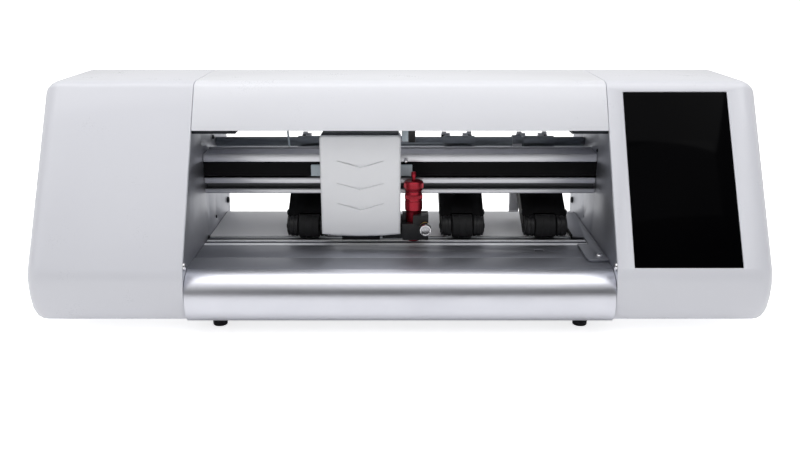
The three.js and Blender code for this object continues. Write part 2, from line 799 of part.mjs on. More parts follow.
function pinchBracket() {
  const beamBack = beamFront + beamDepth + fitGap - pivotY;
  const lugBack = 6;
  const plateBottom = beamBottom - pivotZ;
  const plateTop = beamTop - 4 - pivotZ;
  const plate = block([-armHalf, beamBack, plateBottom + 16], [armHalf, beamBack + 3, plateTop]);
  const lug = block([-lugHalf, beamBack, 0], [lugHalf, lugBack, plateBottom + 20]);
  const eye = rod('x', [0, 0], -lugHalf, lugHalf, lugBack);
  const underLug = block([-lugHalf, beamBack, 0], [lugHalf, -3, 7]);
  const pin = rod('x', [0, 0], -armHalf + 0.5, armHalf - 0.5, pivotRadius, { sides: 16 });
  return join(plate, cut(lug, underLug), eye, pin);
}

function pressRoller() {
  const tyre = rod('x', [0, 0], -pressWidth / 2, pressWidth / 2, pressRadius, { sides: 28 });
  return cut(tyre, rod('x', [0, 0], -far, far, rollerPin + runGap, { sides: 16 }));
}

pressCentres.forEach((x, i) => {
  const unit = i + 1;
  const pivot = [x, pivotY, pivotZ];
  addPart(`pinch_bracket_${unit}`, pinchBracket(), 'black', pivot);
  addPart(`pinch_arm_${unit}`, pinchArm(), 'black', pivot);
  addPart(`pinch_roller_${unit}`, pressRoller(), 'rubber', [x, nipLine, pressAxis]);
});

// ---- Lift rod and lever -------------------------------------------------------------------
const camHigh = 7;
const camFlat = 4.8;
const camWidth = 25;
const camSides = 14;
const leverBore = liftRodRadius + fitGap;

function liftRod() {
  const bar = rod('x', [0, 0], -innerHalf, innerHalf, liftRodRadius);
  const journals = rod('x', [0, 0], -halfBay - plateThickness + 0.5,
    halfBay + plateThickness - 0.5, rodEnd, { sides: 16 });
  const cams = pressCentres.map(x => {
    const points = [];
    for (let i = 0; i < camSides; i += 1) {
      const angle = i / camSides * 2 * Math.PI;
      points.push([camHigh * Math.cos(angle), camFlat * Math.sin(angle)]);
    }
    return prismX(pairs(points), x - camWidth / 2, x + camWidth / 2);
  });
  return join(bar, journals, ...cams);
}

addPart('lift_rod', liftRod(), 'darkAnodised', [0, liftRodY, liftRodZ]);

function liftLever() {
  const low = -leverWidth / 2;
  const high = leverWidth / 2;
  const hub = 5.6;
  const armTip = [4, tableHeight + leverGap - liftRodZ];
  const arm = prismX(linkOutline([0, 0], hub, armTip, 3.5), low, high);
  return cut(arm, rod('x', [0, 0], -far, far, leverBore));
}

addPart('lift_lever', liftLever(), 'pale', [leverX, liftRodY, liftRodZ]);

// ---- Carriage -----------------------------------------------------------------------------
const plateBack = -8.3;
const plateFront = plateBack - carriagePlate;
const topWheelZ = beamTop + fitGap + wheelRadius;
const lowWheelZ = beamBottom - fitGap - wheelRadius;
const wheelSpread = 20;
const filmGap = 5.7; // film's way between the table and the carriage's foot
const footBack = -13.2; // foot passes in front of the lifted press rollers
const wheelSpots = [
  ['carriage_wheel_left', coverCentre - wheelSpread, topWheelZ],
  ['carriage_wheel_right', coverCentre + wheelSpread, topWheelZ],
  ['carriage_wheel_low', coverCentre, lowWheelZ],
];

function carriagePlateBody() {
  const low = coverCentre - 26;
  const high = coverCentre + 27;
  const bottom = lowWheelZ - 5;
  const plate = block([low, plateFront, bottom], [high, plateBack, topWheelZ + 4.5]);
  const axles = wheelSpots.map(([, x, z]) =>
    rod('y', [x, z], plateFront + 1, plateBack + wheelWidth + 1, wheelAxle, { sides: 16 }));
  const foot = block([coverCentre - 14.5, -27, tableHeight + filmGap],
    [coverCentre + 14, footBack, bottom + 0.7]);
  const shelf = block([coverCentre - 14.5, -27, bottom - 1],
    [coverCentre + 14, plateBack, bottom + 0.7]);
  return join(plate, ...axles, foot, shelf);
}

addPart('carriage_plate', carriagePlateBody(), 'satin');

function carriageWheel() {
  const tyre = rod('y', [0, 0], -wheelWidth / 2, wheelWidth / 2, wheelRadius);
  return cut(tyre, rod('y', [0, 0], -far, far, wheelAxle + runGap, { sides: 16 }));
}

const wheelY = plateBack + fitGap + wheelWidth / 2;
wheelSpots.forEach(([name, x, z]) => addPart(name, carriageWheel(), 'pale', [x, wheelY, z]));

const clampTop = tableHeight + 24.5;
const clampBottom = tableHeight + 5.5;
const armFront = -22;
const clampEnds = [coverCentre - 38.5, coverCentre + 38.5];

function beltClamp() {
  const middle = (beltTop + beltBottom) / 2;
  const half = beltWidth / 2 - 0.8;
  const jawBack = beltY - beltReach - fitGap;
  const bar = block([clampEnds[0], plateBack + fitGap, middle - half],
    [clampEnds[1], jawBack, middle + half]);
  return bar;
}

addPart('belt_clamp', beltClamp(), 'pale');

function carriageCover() {
  const top = beamTop + coverRise;
  const bottom = beamBottom - coverDrop;
  const half = coverWidth / 2;
  const round = 3;
  const shape = new THREE.Shape();
  shape.moveTo(-half + 0.8, bottom);
  shape.quadraticCurveTo(0, bottom - 1.6, half - 0.8, bottom);
  shape.lineTo(half, top - round);
  shape.quadraticCurveTo(half, top, half - round, top);
  shape.lineTo(-half + round, top);
  shape.quadraticCurveTo(-half, top, -half, top - round);
  const geometry = new THREE.ExtrudeGeometry(shape, {
    depth: coverBack - coverFront - 2, curveSegments: 6,
    bevelThickness: 2, bevelSize: 2, bevelOffset: -2, bevelSegments: 3,
  });
  geometry.applyMatrix4(new THREE.Matrix4().makeRotationX(Math.PI / 2));
  geometry.translate(coverCentre, coverBack, 0);
  const hollow = block([coverCentre - half + coverWall, coverFront + coverWall, bottom - 5],
    [coverCentre + half - coverWall, coverBack + 5, top - coverWall]);
  const armSlot = block([coverCentre, armFront - 1, bottom - 5], [far, coverBack + 5, clampTop]);
  const trim = block([-far, coverBack, -far], [far, far, far]);
  return cut(solid(geometry), hollow, armSlot, trim);
}

addPart('carriage_cover', carriageCover(), 'gloss');

// ---- Tool ---------------------------------------------------------------------------------
const clampBack = -12.4;
const slideX = coverCentre + coverWidth / 2 - 9;
const holderFoot = tableHeight + toolLift;
const collarZ = clampTop + 2;
const collarLength = 14;
const capZ = collarZ + collarLength + 1.3;

function toolSlide() {
  const runner = block([slideX - 5, armFront, clampBottom + 1],
    [slideX + 5, plateFront - fitGap, beamTop]);
  const arm = block([slideX - 5, armFront, clampBottom],
    [toolX + 2, plateFront - 0.8, clampTop - 2]);
  const clamp = block([toolX - 8.5, -27, clampBottom], [toolX + 11, clampBack, clampTop]);
  const bore = rod('z', [toolX, toolY], 0, far, holderRadius + fitGap);
  const screwHole = rod('y', [toolX + 8.6, clampBottom + 10.5], -far, -18, 1.8, { sides: 16 });
  const slit = block([toolX + holderRadius - 2, toolY - 0.6, 0], [toolX + 9.5, toolY + 0.6, far]);
  return cut(join(runner, arm, clamp), bore, screwHole, slit);
}

addPart('tool_slide', toolSlide(), 'black');

const solenoidRadius = 6.5;
const coilY = plateFront - 1 - solenoidRadius;

function liftCoil() {
  const body = rod('z', [0, 0], 0, 26, solenoidRadius, { sides: 20 });
  const yoke = block([-8, -6, -2.5], [8, plateFront - fitGap - coilY, 0]);
  const plunger = rod('z', [0, 0], -10, 1, 2.5, { sides: 16 });
  return join(body, yoke, plunger);
}

addPart('lift_coil', liftCoil(), 'darkAnodised', [coverCentre - 8, coilY, beamBottom]);

function thumbScrew() {
  const head = rod('y', [0, 0], -11, -3, thumbRadius, { sides: 28 });
  const neck = rod('y', [0, 0], -3.2, -0.3, 3.4);
  const shank = rod('y', [0, 0], -1, 7.5, 1.5, { sides: 16 });
  return join(head, neck, shank);
}

addPart('thumb_screw', thumbScrew(), 'steel', [toolX + 8.6, -27, clampBottom + 10.5]);

function bladeHolder() {
  const shank = rod('z', [0, 0], holderFoot, collarZ + 1, holderRadius);
  const collar = rod('z', [0, 0], collarZ, collarZ + collarLength, collarRadius);
  const neck = rod('z', [0, 0], collarZ + collarLength - 1, capZ - fitGap, 5.6);
  const bladeHole = rod('z', [0, 0], 0, collarZ + 2, 1.4, { sides: 12 });
  const pinHole = rod('z', [0, 0], collarZ + 1, far, 1.9, { sides: 12 });
  return cut(join(shank, collar, neck), bladeHole, pinHole);
}

addPart('blade_holder', bladeHolder(), 'red', [toolX, toolY, 0]);

function holderCap() {
  const lower = rod('z', [0, 0], capZ, capZ + 3.5, capRadius - 0.6, { endRadius: capRadius });
  const upper = rod('z', [0, 0], capZ + 3.5, capZ + 7.5, capRadius, { endRadius: capRadius - 0.8 });
  return cut(join(lower, upper), rod('z', [0, 0], 0, far, 1.9, { sides: 12 }));
}

addPart('holder_cap', holderCap(), 'red', [toolX, toolY, 0]);

function holderPin() {
  const stem = rod('z', [0, 0], collarZ + 6, capZ + 13.7, 1.5, { sides: 12 });
  return join(stem, rod('z', [0, 0], capZ + 10.2, capZ + 14.5, 1.9, { sides: 12, endRadius: 1.5 }));
}

addPart('holder_pin', holderPin(), 'red', [toolX, toolY, 0]);

function blade() {
  const stem = rod('z', [0, 0], holderFoot + 2, collarZ + 1.5, 1, { sides: 10 });
  const tip = rod('z', [0, 0], holderFoot - 0.4, holderFoot + 2.2, 0.2, { sides: 10, endRadius: 1 });
  return join(stem, tip);
}

addPart('blade', blade(), 'steel', [toolX, toolY, 0]);

// ---- Wiring and electronics ---------------------------------------------------------------
const cableRadius = 0.8;

function beamCable() {
  const start = new THREE.Vector3(-87, 20, beamTop + fitGap);
  const end = new THREE.Vector3(-92, 25, machineHeight - shellWall - fitGap);
  const middle = new THREE.Vector3(-89.5, 24, (start.z + end.z) / 2);
  const path = new THREE.CatmullRomCurve3([start, middle, end]);
  const ring = new THREE.Shape();
  ring.absarc(0, 0, cableRadius, 0, 2 * Math.PI);
  const geometry = new THREE.ExtrudeGeometry(ring, {
    steps: 14, extrudePath: path, bevelEnabled: false, curveSegments: 4,
  });
  return solid(geometry);
}

addPart('beam_cable', beamCable(), 'pale');

const boardX = halfWidth - 19;
const boardWall = 1.6;

function mainBoard() {
  const board = block([boardX, -20, 30], [boardX + boardWall, rearWall - 4, 130]);
  const chips = [[10, 60, 20], [40, 60, 14], [10, 95, 12], [45, 100, 16]].map(([y, z, size]) =>
    block([boardX - 3, y, z], [boardX + 1, y + size, z + size]));
  const port = block([usbX - usbSize[0] / 2, halfDepth - portRecess - usbLength, inletZ - usbSize[1] / 2],
    [usbX + usbSize[0] / 2, halfDepth - portRecess, inletZ + usbSize[1] / 2]);
  const link = block([usbX, halfDepth - usbLength, inletZ - 4], [boardX + 1, rearWall - 6, inletZ + 4]);
  const well = rearBlock(usbX, inletZ, usbWell, halfDepth - 12, far);
  return cut(join(board, ...chips, port, link), well);
}

addPart('main_board', mainBoard(), 'board');

function powerInlet() {
  const back = halfDepth - portRecess;
  const body = rearBlock(inletX, inletZ, inletSize, back - inletDepth, back);
  const rimSize = inletSize.map(value => value + 2 * inletRim);
  const rim = rearBlock(inletX, inletZ, rimSize, rearWall - 2.4, rearWall - fitGap);
  const well = rearBlock(inletX, inletZ, inletWell, back - inletWellDepth, far);
  return cut(join(body, rim), well);
}

addPart('power_inlet', powerInlet(), 'black');

const rockerWidth = 11;

function switchHousing() {
  const back = halfDepth - portRecess;
  const body = rearBlock(switchX, inletZ, switchSize, back - switchDepth, back);
  const rimSize = switchSize.map(value => value + 2 * inletRim);
  const rim = rearBlock(switchX, inletZ, rimSize, rearWall - 2.4, rearWall - fitGap);
  const wellSize = [switchSize[0] - 2, rockerWidth + 2 * fitGap];
  const well = rearBlock(switchX, inletZ, wellSize, back - 9, far);
  return cut(join(body, rim), well);
}

addPart('switch_housing', switchHousing(), 'black');

const rockerHalf = switchSize[0] / 2 - 2;
const rockerPivot = 5; // behind the housing's face
const rockerTilt = THREE.MathUtils.degToRad(9);

function switchRocker() {
  const shape = new THREE.Shape(pairs([
    [-rockerHalf, -1.5], [rockerHalf, -1.5], [rockerHalf, 3], [0, 1.2], [-rockerHalf, 3],
  ]));
  const geometry = new THREE.ExtrudeGeometry(shape, { depth: rockerWidth, bevelEnabled: false });
  geometry.translate(0, 0, -rockerWidth / 2);
  return solid(geometry);
}

const rocker = addPart('switch_rocker', switchRocker(), 'black',
  [switchX, halfDepth - portRecess - rockerPivot, inletZ]);
rocker.rotation.z = -rockerTilt;

export default machine;
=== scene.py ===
import json
import math

import bmesh
import bpy
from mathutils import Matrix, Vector


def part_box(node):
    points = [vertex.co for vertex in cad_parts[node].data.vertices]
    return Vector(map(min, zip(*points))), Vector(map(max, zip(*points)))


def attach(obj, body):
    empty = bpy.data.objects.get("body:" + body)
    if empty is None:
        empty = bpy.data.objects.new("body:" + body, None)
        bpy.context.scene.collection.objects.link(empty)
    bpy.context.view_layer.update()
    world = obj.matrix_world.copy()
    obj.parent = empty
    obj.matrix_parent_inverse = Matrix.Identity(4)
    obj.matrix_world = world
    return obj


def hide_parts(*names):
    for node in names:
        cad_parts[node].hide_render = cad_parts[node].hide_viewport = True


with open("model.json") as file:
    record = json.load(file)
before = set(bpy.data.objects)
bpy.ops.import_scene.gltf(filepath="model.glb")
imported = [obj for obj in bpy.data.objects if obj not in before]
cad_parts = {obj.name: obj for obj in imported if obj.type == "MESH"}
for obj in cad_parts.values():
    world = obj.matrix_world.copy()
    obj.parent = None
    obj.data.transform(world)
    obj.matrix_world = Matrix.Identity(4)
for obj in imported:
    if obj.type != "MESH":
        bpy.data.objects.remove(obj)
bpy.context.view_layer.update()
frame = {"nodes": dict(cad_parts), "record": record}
nodes = frame["nodes"]
mm = 0.001
print("frame loaded:", len(nodes), "nodes")

# hands: selecting, shaping and finishing a piece


def clearPicks():
    active = bpy.context.view_layer.objects.active
    if active and active.mode != "OBJECT":
        bpy.ops.object.mode_set(mode="OBJECT")
    bpy.ops.object.select_all(action="DESELECT")


def take(piece):
    clearPicks()
    piece.select_set(True)
    bpy.context.view_layer.objects.active = piece


def named(name):
    piece = bpy.context.object
    piece.name = name
    piece.data.name = name
    return piece


def openMesh(piece):
    take(piece)
    bpy.ops.object.mode_set(mode="EDIT")
    bpy.ops.mesh.select_mode(type="VERT")


def closeMesh():
    bpy.ops.object.mode_set(mode="OBJECT")


def closeOutward():  # all faces are turned outwards first
    bpy.ops.mesh.select_all(action="SELECT")
    bpy.ops.mesh.normals_make_consistent(inside=False)
    closeMesh()


def unpickAll(mesh):
    for group in (mesh.verts, mesh.edges, mesh.faces):
        for item in group:
            item.select = False


def pick(piece, kind, wanted):
    bpy.ops.mesh.select_mode(type=kind)
    mesh = bmesh.from_edit_mesh(piece.data)
    unpickAll(mesh)
    for item in mesh.faces if kind == "FACE" else mesh.edges:
        if wanted(item):
            item.select_set(True)
    bmesh.update_edit_mesh(piece.data)


def pickFaces(piece, wanted):
    pick(piece, "FACE", lambda face: wanted(face.calc_center_median() / mm, face.normal))


def pickEdges(piece, wanted):
    pick(piece, "EDGE", lambda edge: wanted(edge.verts[0].co / mm, edge.verts[1].co / mm))


def applied(piece, kind, **settings):
    take(piece)
    modifier = piece.modifiers.new(kind, kind)
    for key, value in settings.items():
        setattr(modifier, key, value)
    bpy.ops.object.modifier_apply(modifier=modifier.name)


def softened(piece, width, segments=2, angle=38):
    applied(piece, "BEVEL", width=width * mm, segments=segments, limit_method="ANGLE",
            angle_limit=math.radians(angle), miter_outer="MITER_ARC")


def smoothed(piece, angle=32):
    take(piece)
    bpy.ops.object.shade_smooth_by_angle(angle=math.radians(angle))


def placed(piece):
    take(piece)
    bpy.ops.object.transform_apply(location=True, rotation=True, scale=True)


def joined(first, *others):
    take(first)
    for other in others:
        other.select_set(True)
    bpy.ops.object.join()
    return bpy.context.object


def copied(piece, name, shift):
    take(piece)
    bpy.ops.object.duplicate(linked=False)
    other = named(name)
    bpy.ops.transform.translate(value=Vector(shift) * mm)
    placed(other)
    return other


def cutBy(piece, *cutters, way="DIFFERENCE"):
    for cutter in cutters:
        applied(piece, "BOOLEAN", object=cutter, operation=way, solver="EXACT")
        bpy.data.objects.remove(cutter)


axisTurn = {"z": (0, 0, 0), "x": (0, 90, 0), "y": (-90, 0, 0), "front": (90, 0, 0),
            "left": (0, -90, 0)}


def turned(name, profile, centre, axis="z", sides=48, bored=False):
    clearPicks()
    radius, height = profile[0]
    bpy.ops.mesh.primitive_circle_add(vertices=sides, radius=radius * mm, fill_type="NGON",
                                      location=(0, 0, height * mm))
    piece = named(name)
    placed(piece)
    openMesh(piece)
    bpy.ops.mesh.select_mode(type="FACE")
    bpy.ops.mesh.select_all(action="SELECT")
    for nextRadius, nextHeight in profile[1:]:
        rise = (nextHeight - height) * mm
        bpy.ops.mesh.extrude_region_move(TRANSFORM_OT_translate={"value": (0, 0, rise)})
        grow = nextRadius / radius
        bpy.ops.transform.resize(value=(grow, grow, 1), center_override=(0, 0, nextHeight * mm))
        radius, height = nextRadius, nextHeight
    if bored:  # the two end discs are opened and bridged into a bore
        pick(piece, "FACE", lambda face: len(face.verts) == sides
             and face.calc_center_median().xy.length < 1e-6)
        bpy.ops.mesh.delete(type="ONLY_FACE")
        pickEdges(piece, lambda a, b: any(
            all(abs(p.xy.length - r) < 1e-3 and abs(p.z - h) < 1e-3 for p in (a, b))
            for r, h in (profile[0], profile[-1])))
        bpy.ops.mesh.bridge_edge_loops()
    closeOutward()
    piece.rotation_euler = [math.radians(a) for a in axisTurn[axis]]
    piece.location = Vector(centre) * mm
    placed(piece)
    return piece


outlineMaps = {
    "x": lambda u, v, w: (w, u, v),
    "y": lambda u, v, w: (u, w, v),
    "z": lambda u, v, w: (u, v, w),
}


def extruded(name, outline, axis, low, high):
    clearPicks()
    bpy.ops.mesh.primitive_circle_add(vertices=len(outline), radius=mm, fill_type="NGON")
    piece = named(name)
    spot = outlineMaps[axis]
    for vertex, (u, v) in zip(piece.data.vertices, outline):
        vertex.co = Vector(spot(u, v, low)) * mm
    openMesh(piece)
    bpy.ops.mesh.select_all(action="SELECT")
    travel = Vector(spot(0, 0, high - low)) * mm
    bpy.ops.mesh.extrude_region_move(TRANSFORM_OT_translate={"value": travel})
    closeOutward()
    return piece


def brick(name, low, high):
    clearPicks()
    low, high = Vector(low), Vector(high)
    bpy.ops.mesh.primitive_cube_add(size=1, location=(low + high) / 2 * mm, scale=(high - low) * mm)
    piece = named(name)
    placed(piece)
    return piece


def tube(name, points, radius, sides=3):
    clearPicks()
    bpy.ops.curve.primitive_bezier_curve_add()
    wire = bpy.context.object
    line = wire.data.splines[0]
    line.bezier_points.add(len(points) - 2)
    for knot, point in zip(line.bezier_points, points):
        knot.co = Vector(point) * mm
        knot.handle_left_type = knot.handle_right_type = "AUTO"
    wire.location = (0, 0, 0)
    wire.data.bevel_depth = radius * mm
    wire.data.bevel_resolution = sides
    wire.data.resolution_u = 12
    wire.data.use_fill_caps = True
    bpy.ops.object.convert(target="MESH")
    piece = named(name)
    placed(piece)
    openMesh(piece)
    bpy.ops.mesh.select_all(action="SELECT")
    bpy.ops.mesh.remove_doubles(threshold=0.002 * mm)
    closeOutward()
    return piece


def reworked(node, name, bevel, segments=2, angle=38, kept=None):
    clearPicks()
    piece = bpy.data.objects.new(name, nodes[node].data.copy())
    piece.data.name = name
    bpy.context.scene.collection.objects.link(piece)
    openMesh(piece)
    bpy.ops.mesh.customdata_custom_splitnormals_clear()
    bpy.ops.mesh.select_all(action="SELECT")
    bpy.ops.mesh.remove_doubles(threshold=2e-6)
    bpy.ops.mesh.mark_sharp(clear=True)
    if kept:
        pickFaces(piece, lambda c, n: not kept(c, n))
    bpy.ops.mesh.dissolve_limited(angle_limit=math.radians(0.4))
    closeMesh()
    if bevel:
        softened(piece, bevel, segments, angle)
    smoothed(piece, 30)
    return piece


# camera, floor and studio light

cameraLook = {"place": (0, -0.6695, 0.249), "tilt": 74.04, "lens": 40.05}
bpy.ops.object.camera_add(location=cameraLook["place"],
                          rotation=(math.radians(cameraLook["tilt"]), 0, 0))
camera = bpy.context.object
camera.data.lens = cameraLook["lens"]
camera.data.clip_start = 0.01
bpy.context.scene.camera = camera
bpy.context.scene.view_settings.view_transform = "Standard"


def tone(red, green, blue):
    return tuple(((c / 255 + 0.055) / 1.055) ** 2.4 if c > 10 else c / 255 / 12.92
                 for c in (red, green, blue)) + (1,)


floorLook = {"size": 30, "tone": 0.9, "rough": 0.9, "glow": (0.12, 0.75)}  # glow on the object, and as seen


def studioFloor():
    clearPicks()
    bpy.ops.mesh.primitive_plane_add(size=floorLook["size"])
    floor = named("studio_floor")
    pale = bpy.data.materials.new("studioPaper")
    pale.use_nodes = True
    surface = pale.node_tree.nodes["Principled BSDF"]
    surface.inputs["Base Color"].default_value = (floorLook["tone"],) * 3 + (1,)
    surface.inputs["Roughness"].default_value = floorLook["rough"]
    surface.inputs["Specular IOR Level"].default_value = 0.0
    surface.inputs["Emission Color"].default_value = (1, 1, 1, 1)
    seen = pale.node_tree.nodes.new("ShaderNodeLightPath")
    glow = pale.node_tree.nodes.new("ShaderNodeMapRange")
    glow.inputs["To Min"].default_value, glow.inputs["To Max"].default_value = floorLook["glow"]
    pale.node_tree.links.new(seen.outputs["Is Camera Ray"], glow.inputs["Value"])
    pale.node_tree.links.new(glow.outputs[0], surface.inputs["Emission Strength"])
    floor.data.materials.append(pale)


skyLook = {"front": 0.22, "high": 1.05, "behind": 1.7, "start": 0.42, "full": 0.68,
           "turn": (-0.15, 0.25), "strength": 0.42}


def studioSky():
    world = bpy.data.worlds.new("studioSky")
    bpy.context.scene.world = world
    world.use_nodes = True
    tree, links = world.node_tree.nodes, world.node_tree.links
    background = tree["Background"]
    way = tree.new("ShaderNodeTexCoord")
    parts = tree.new("ShaderNodeSeparateXYZ")
    links.new(way.outputs["Generated"], parts.inputs[0])
    height = tree.new("ShaderNodeValToRGB")
    low, high = height.color_ramp.elements
    low.position, high.position = skyLook["start"], skyLook["full"]
    low.color = (skyLook["front"],) * 3 + (1,)
    high.color = (skyLook["high"],) * 3 + (1,)
    links.new(parts.outputs["Z"], height.inputs[0])
    rear = tree.new("ShaderNodeMapRange")
    rear.inputs["From Min"].default_value, rear.inputs["From Max"].default_value = skyLook["turn"]
    links.new(parts.outputs["Y"], rear.inputs["Value"])
    mix = tree.new("ShaderNodeMix")
    mix.data_type = "RGBA"
    links.new(rear.outputs[0], mix.inputs[0])
    links.new(height.outputs[0], mix.inputs[6])
    mix.inputs[7].default_value = (skyLook["behind"],) * 3 + (1,)
    links.new(mix.outputs[2], background.inputs["Color"])
    background.inputs["Strength"].default_value = skyLook["strength"]


lightAim = (0, 0, 0.1)
softboxes = [
    {"name": "overheadBox", "place": (0, -0.15, 1.35), "size": (2.2, 1.2), "power": 15},
    {"name": "leftBox", "place": (-1.5, -1.0, 1.0), "size": (0.9, 1.2), "power": 2.4},
    {"name": "frontBox", "place": (0.2, -1.35, 1.45), "size": (2.4, 0.8), "power": 3},
]


def studioLights():
    for box in softboxes:
        place, aim = Vector(box["place"]), Vector(lightAim)
        turn = (aim - place).to_track_quat("-Z", "Y").to_euler()
        clearPicks()
        bpy.ops.object.light_add(type="AREA", location=place, rotation=turn)
        light = bpy.context.object
        light.name = box["name"]
        light.data.shape = "RECTANGLE"
        light.data.size, light.data.size_y = box["size"]
        light.data.energy = box["power"]


studioFloor()
studioSky()
studioLights()
print("studio ready")

# shared shader groups


def newGroup(name, inputs, outputs):
    group = bpy.data.node_groups.new(name, "ShaderNodeTree")
    for label, kind, value in inputs:
        group.interface.new_socket(label, in_out="INPUT", socket_type=kind).default_value = value
    for label in outputs:
        group.interface.new_socket(label, in_out="OUTPUT", socket_type="NodeSocketFloat")
    return group, group.nodes.new("NodeGroupInput"), group.nodes.new("NodeGroupOutput")


grainLook = {"Grain": 3, "Cloud": 4, "rough": 0.6}
edgeLook = {"samples": 4, "patches": 320}


def feed(links, socket, value):
    if hasattr(value, "is_output"):
        links.new(value, socket)
    else:
        socket.default_value = value


def maths(tree, links, operation, first, second):
    node = tree.new("ShaderNodeMath")
    node.operation = operation
    feed(links, node.inputs[0], first)
    feed(links, node.inputs[1], second)
    return node


def mixedColour(tree, links, factor, low, high):
    mix = tree.new("ShaderNodeMix")
    mix.data_type = "RGBA"
    links.new(factor, mix.inputs[0])
    feed(links, mix.inputs[6], low)
    feed(links, mix.inputs[7], high)
    return mix.outputs[2]


def grainGroup():
    group, given, made = newGroup("surfaceGrain", [
        ("Stretch", "NodeSocketVector", (1, 1, 1)), ("Grain Scale", "NodeSocketFloat", 2000),
        ("Cloud Scale", "NodeSocketFloat", 30)], ["Grain", "Cloud"])
    tree, links = group.nodes, group.links
    place = tree.new("ShaderNodeTexCoord")
    stretch = tree.new("ShaderNodeVectorMath")
    stretch.operation = "MULTIPLY"
    links.new(place.outputs["Object"], stretch.inputs[0])
    links.new(given.outputs["Stretch"], stretch.inputs[1])
    for result in ("Grain", "Cloud"):
        noise = tree.new("ShaderNodeTexNoise")
        noise.inputs["Detail"].default_value = grainLook[result]
        noise.inputs["Roughness"].default_value = grainLook["rough"]
        links.new(stretch.outputs[0], noise.inputs["Vector"])
        links.new(given.outputs[f"{result} Scale"], noise.inputs["Scale"])
        links.new(noise.outputs["Fac"], made.inputs[result])
    return group


# edges take a second colour: partly wear, partly a painted edge highlight
def edgeWearAndHighlightGroup():
    group, given, made = newGroup("edgeWearAndHighlight", [
        ("Width", "NodeSocketFloat", 0.0005), ("Strength", "NodeSocketFloat", 4)], ["Edge"])
    tree, links = group.nodes, group.links
    rounded = tree.new("ShaderNodeBevel")
    rounded.samples = edgeLook["samples"]
    surface = tree.new("ShaderNodeNewGeometry")
    match = tree.new("ShaderNodeVectorMath")
    match.operation = "DOT_PRODUCT"
    links.new(given.outputs["Width"], rounded.inputs["Radius"])
    links.new(rounded.outputs[0], match.inputs[0])
    links.new(surface.outputs["Normal"], match.inputs[1])
    differ = maths(tree, links, "SUBTRACT", 1, match.outputs["Value"])
    strong = maths(tree, links, "MULTIPLY", differ.outputs[0], given.outputs["Strength"])
    strong.use_clamp = True
    place = tree.new("ShaderNodeTexCoord")
    patches = tree.new("ShaderNodeTexNoise")
    patches.inputs["Scale"].default_value = edgeLook["patches"]
    links.new(place.outputs["Object"], patches.inputs["Vector"])
    broken = maths(tree, links, "MULTIPLY", strong.outputs[0], patches.outputs["Fac"])
    links.new(broken.outputs[0], made.inputs["Edge"])
    return group


grainNodes = grainGroup()
edgeWearAndHighlightNodes = edgeWearAndHighlightGroup()
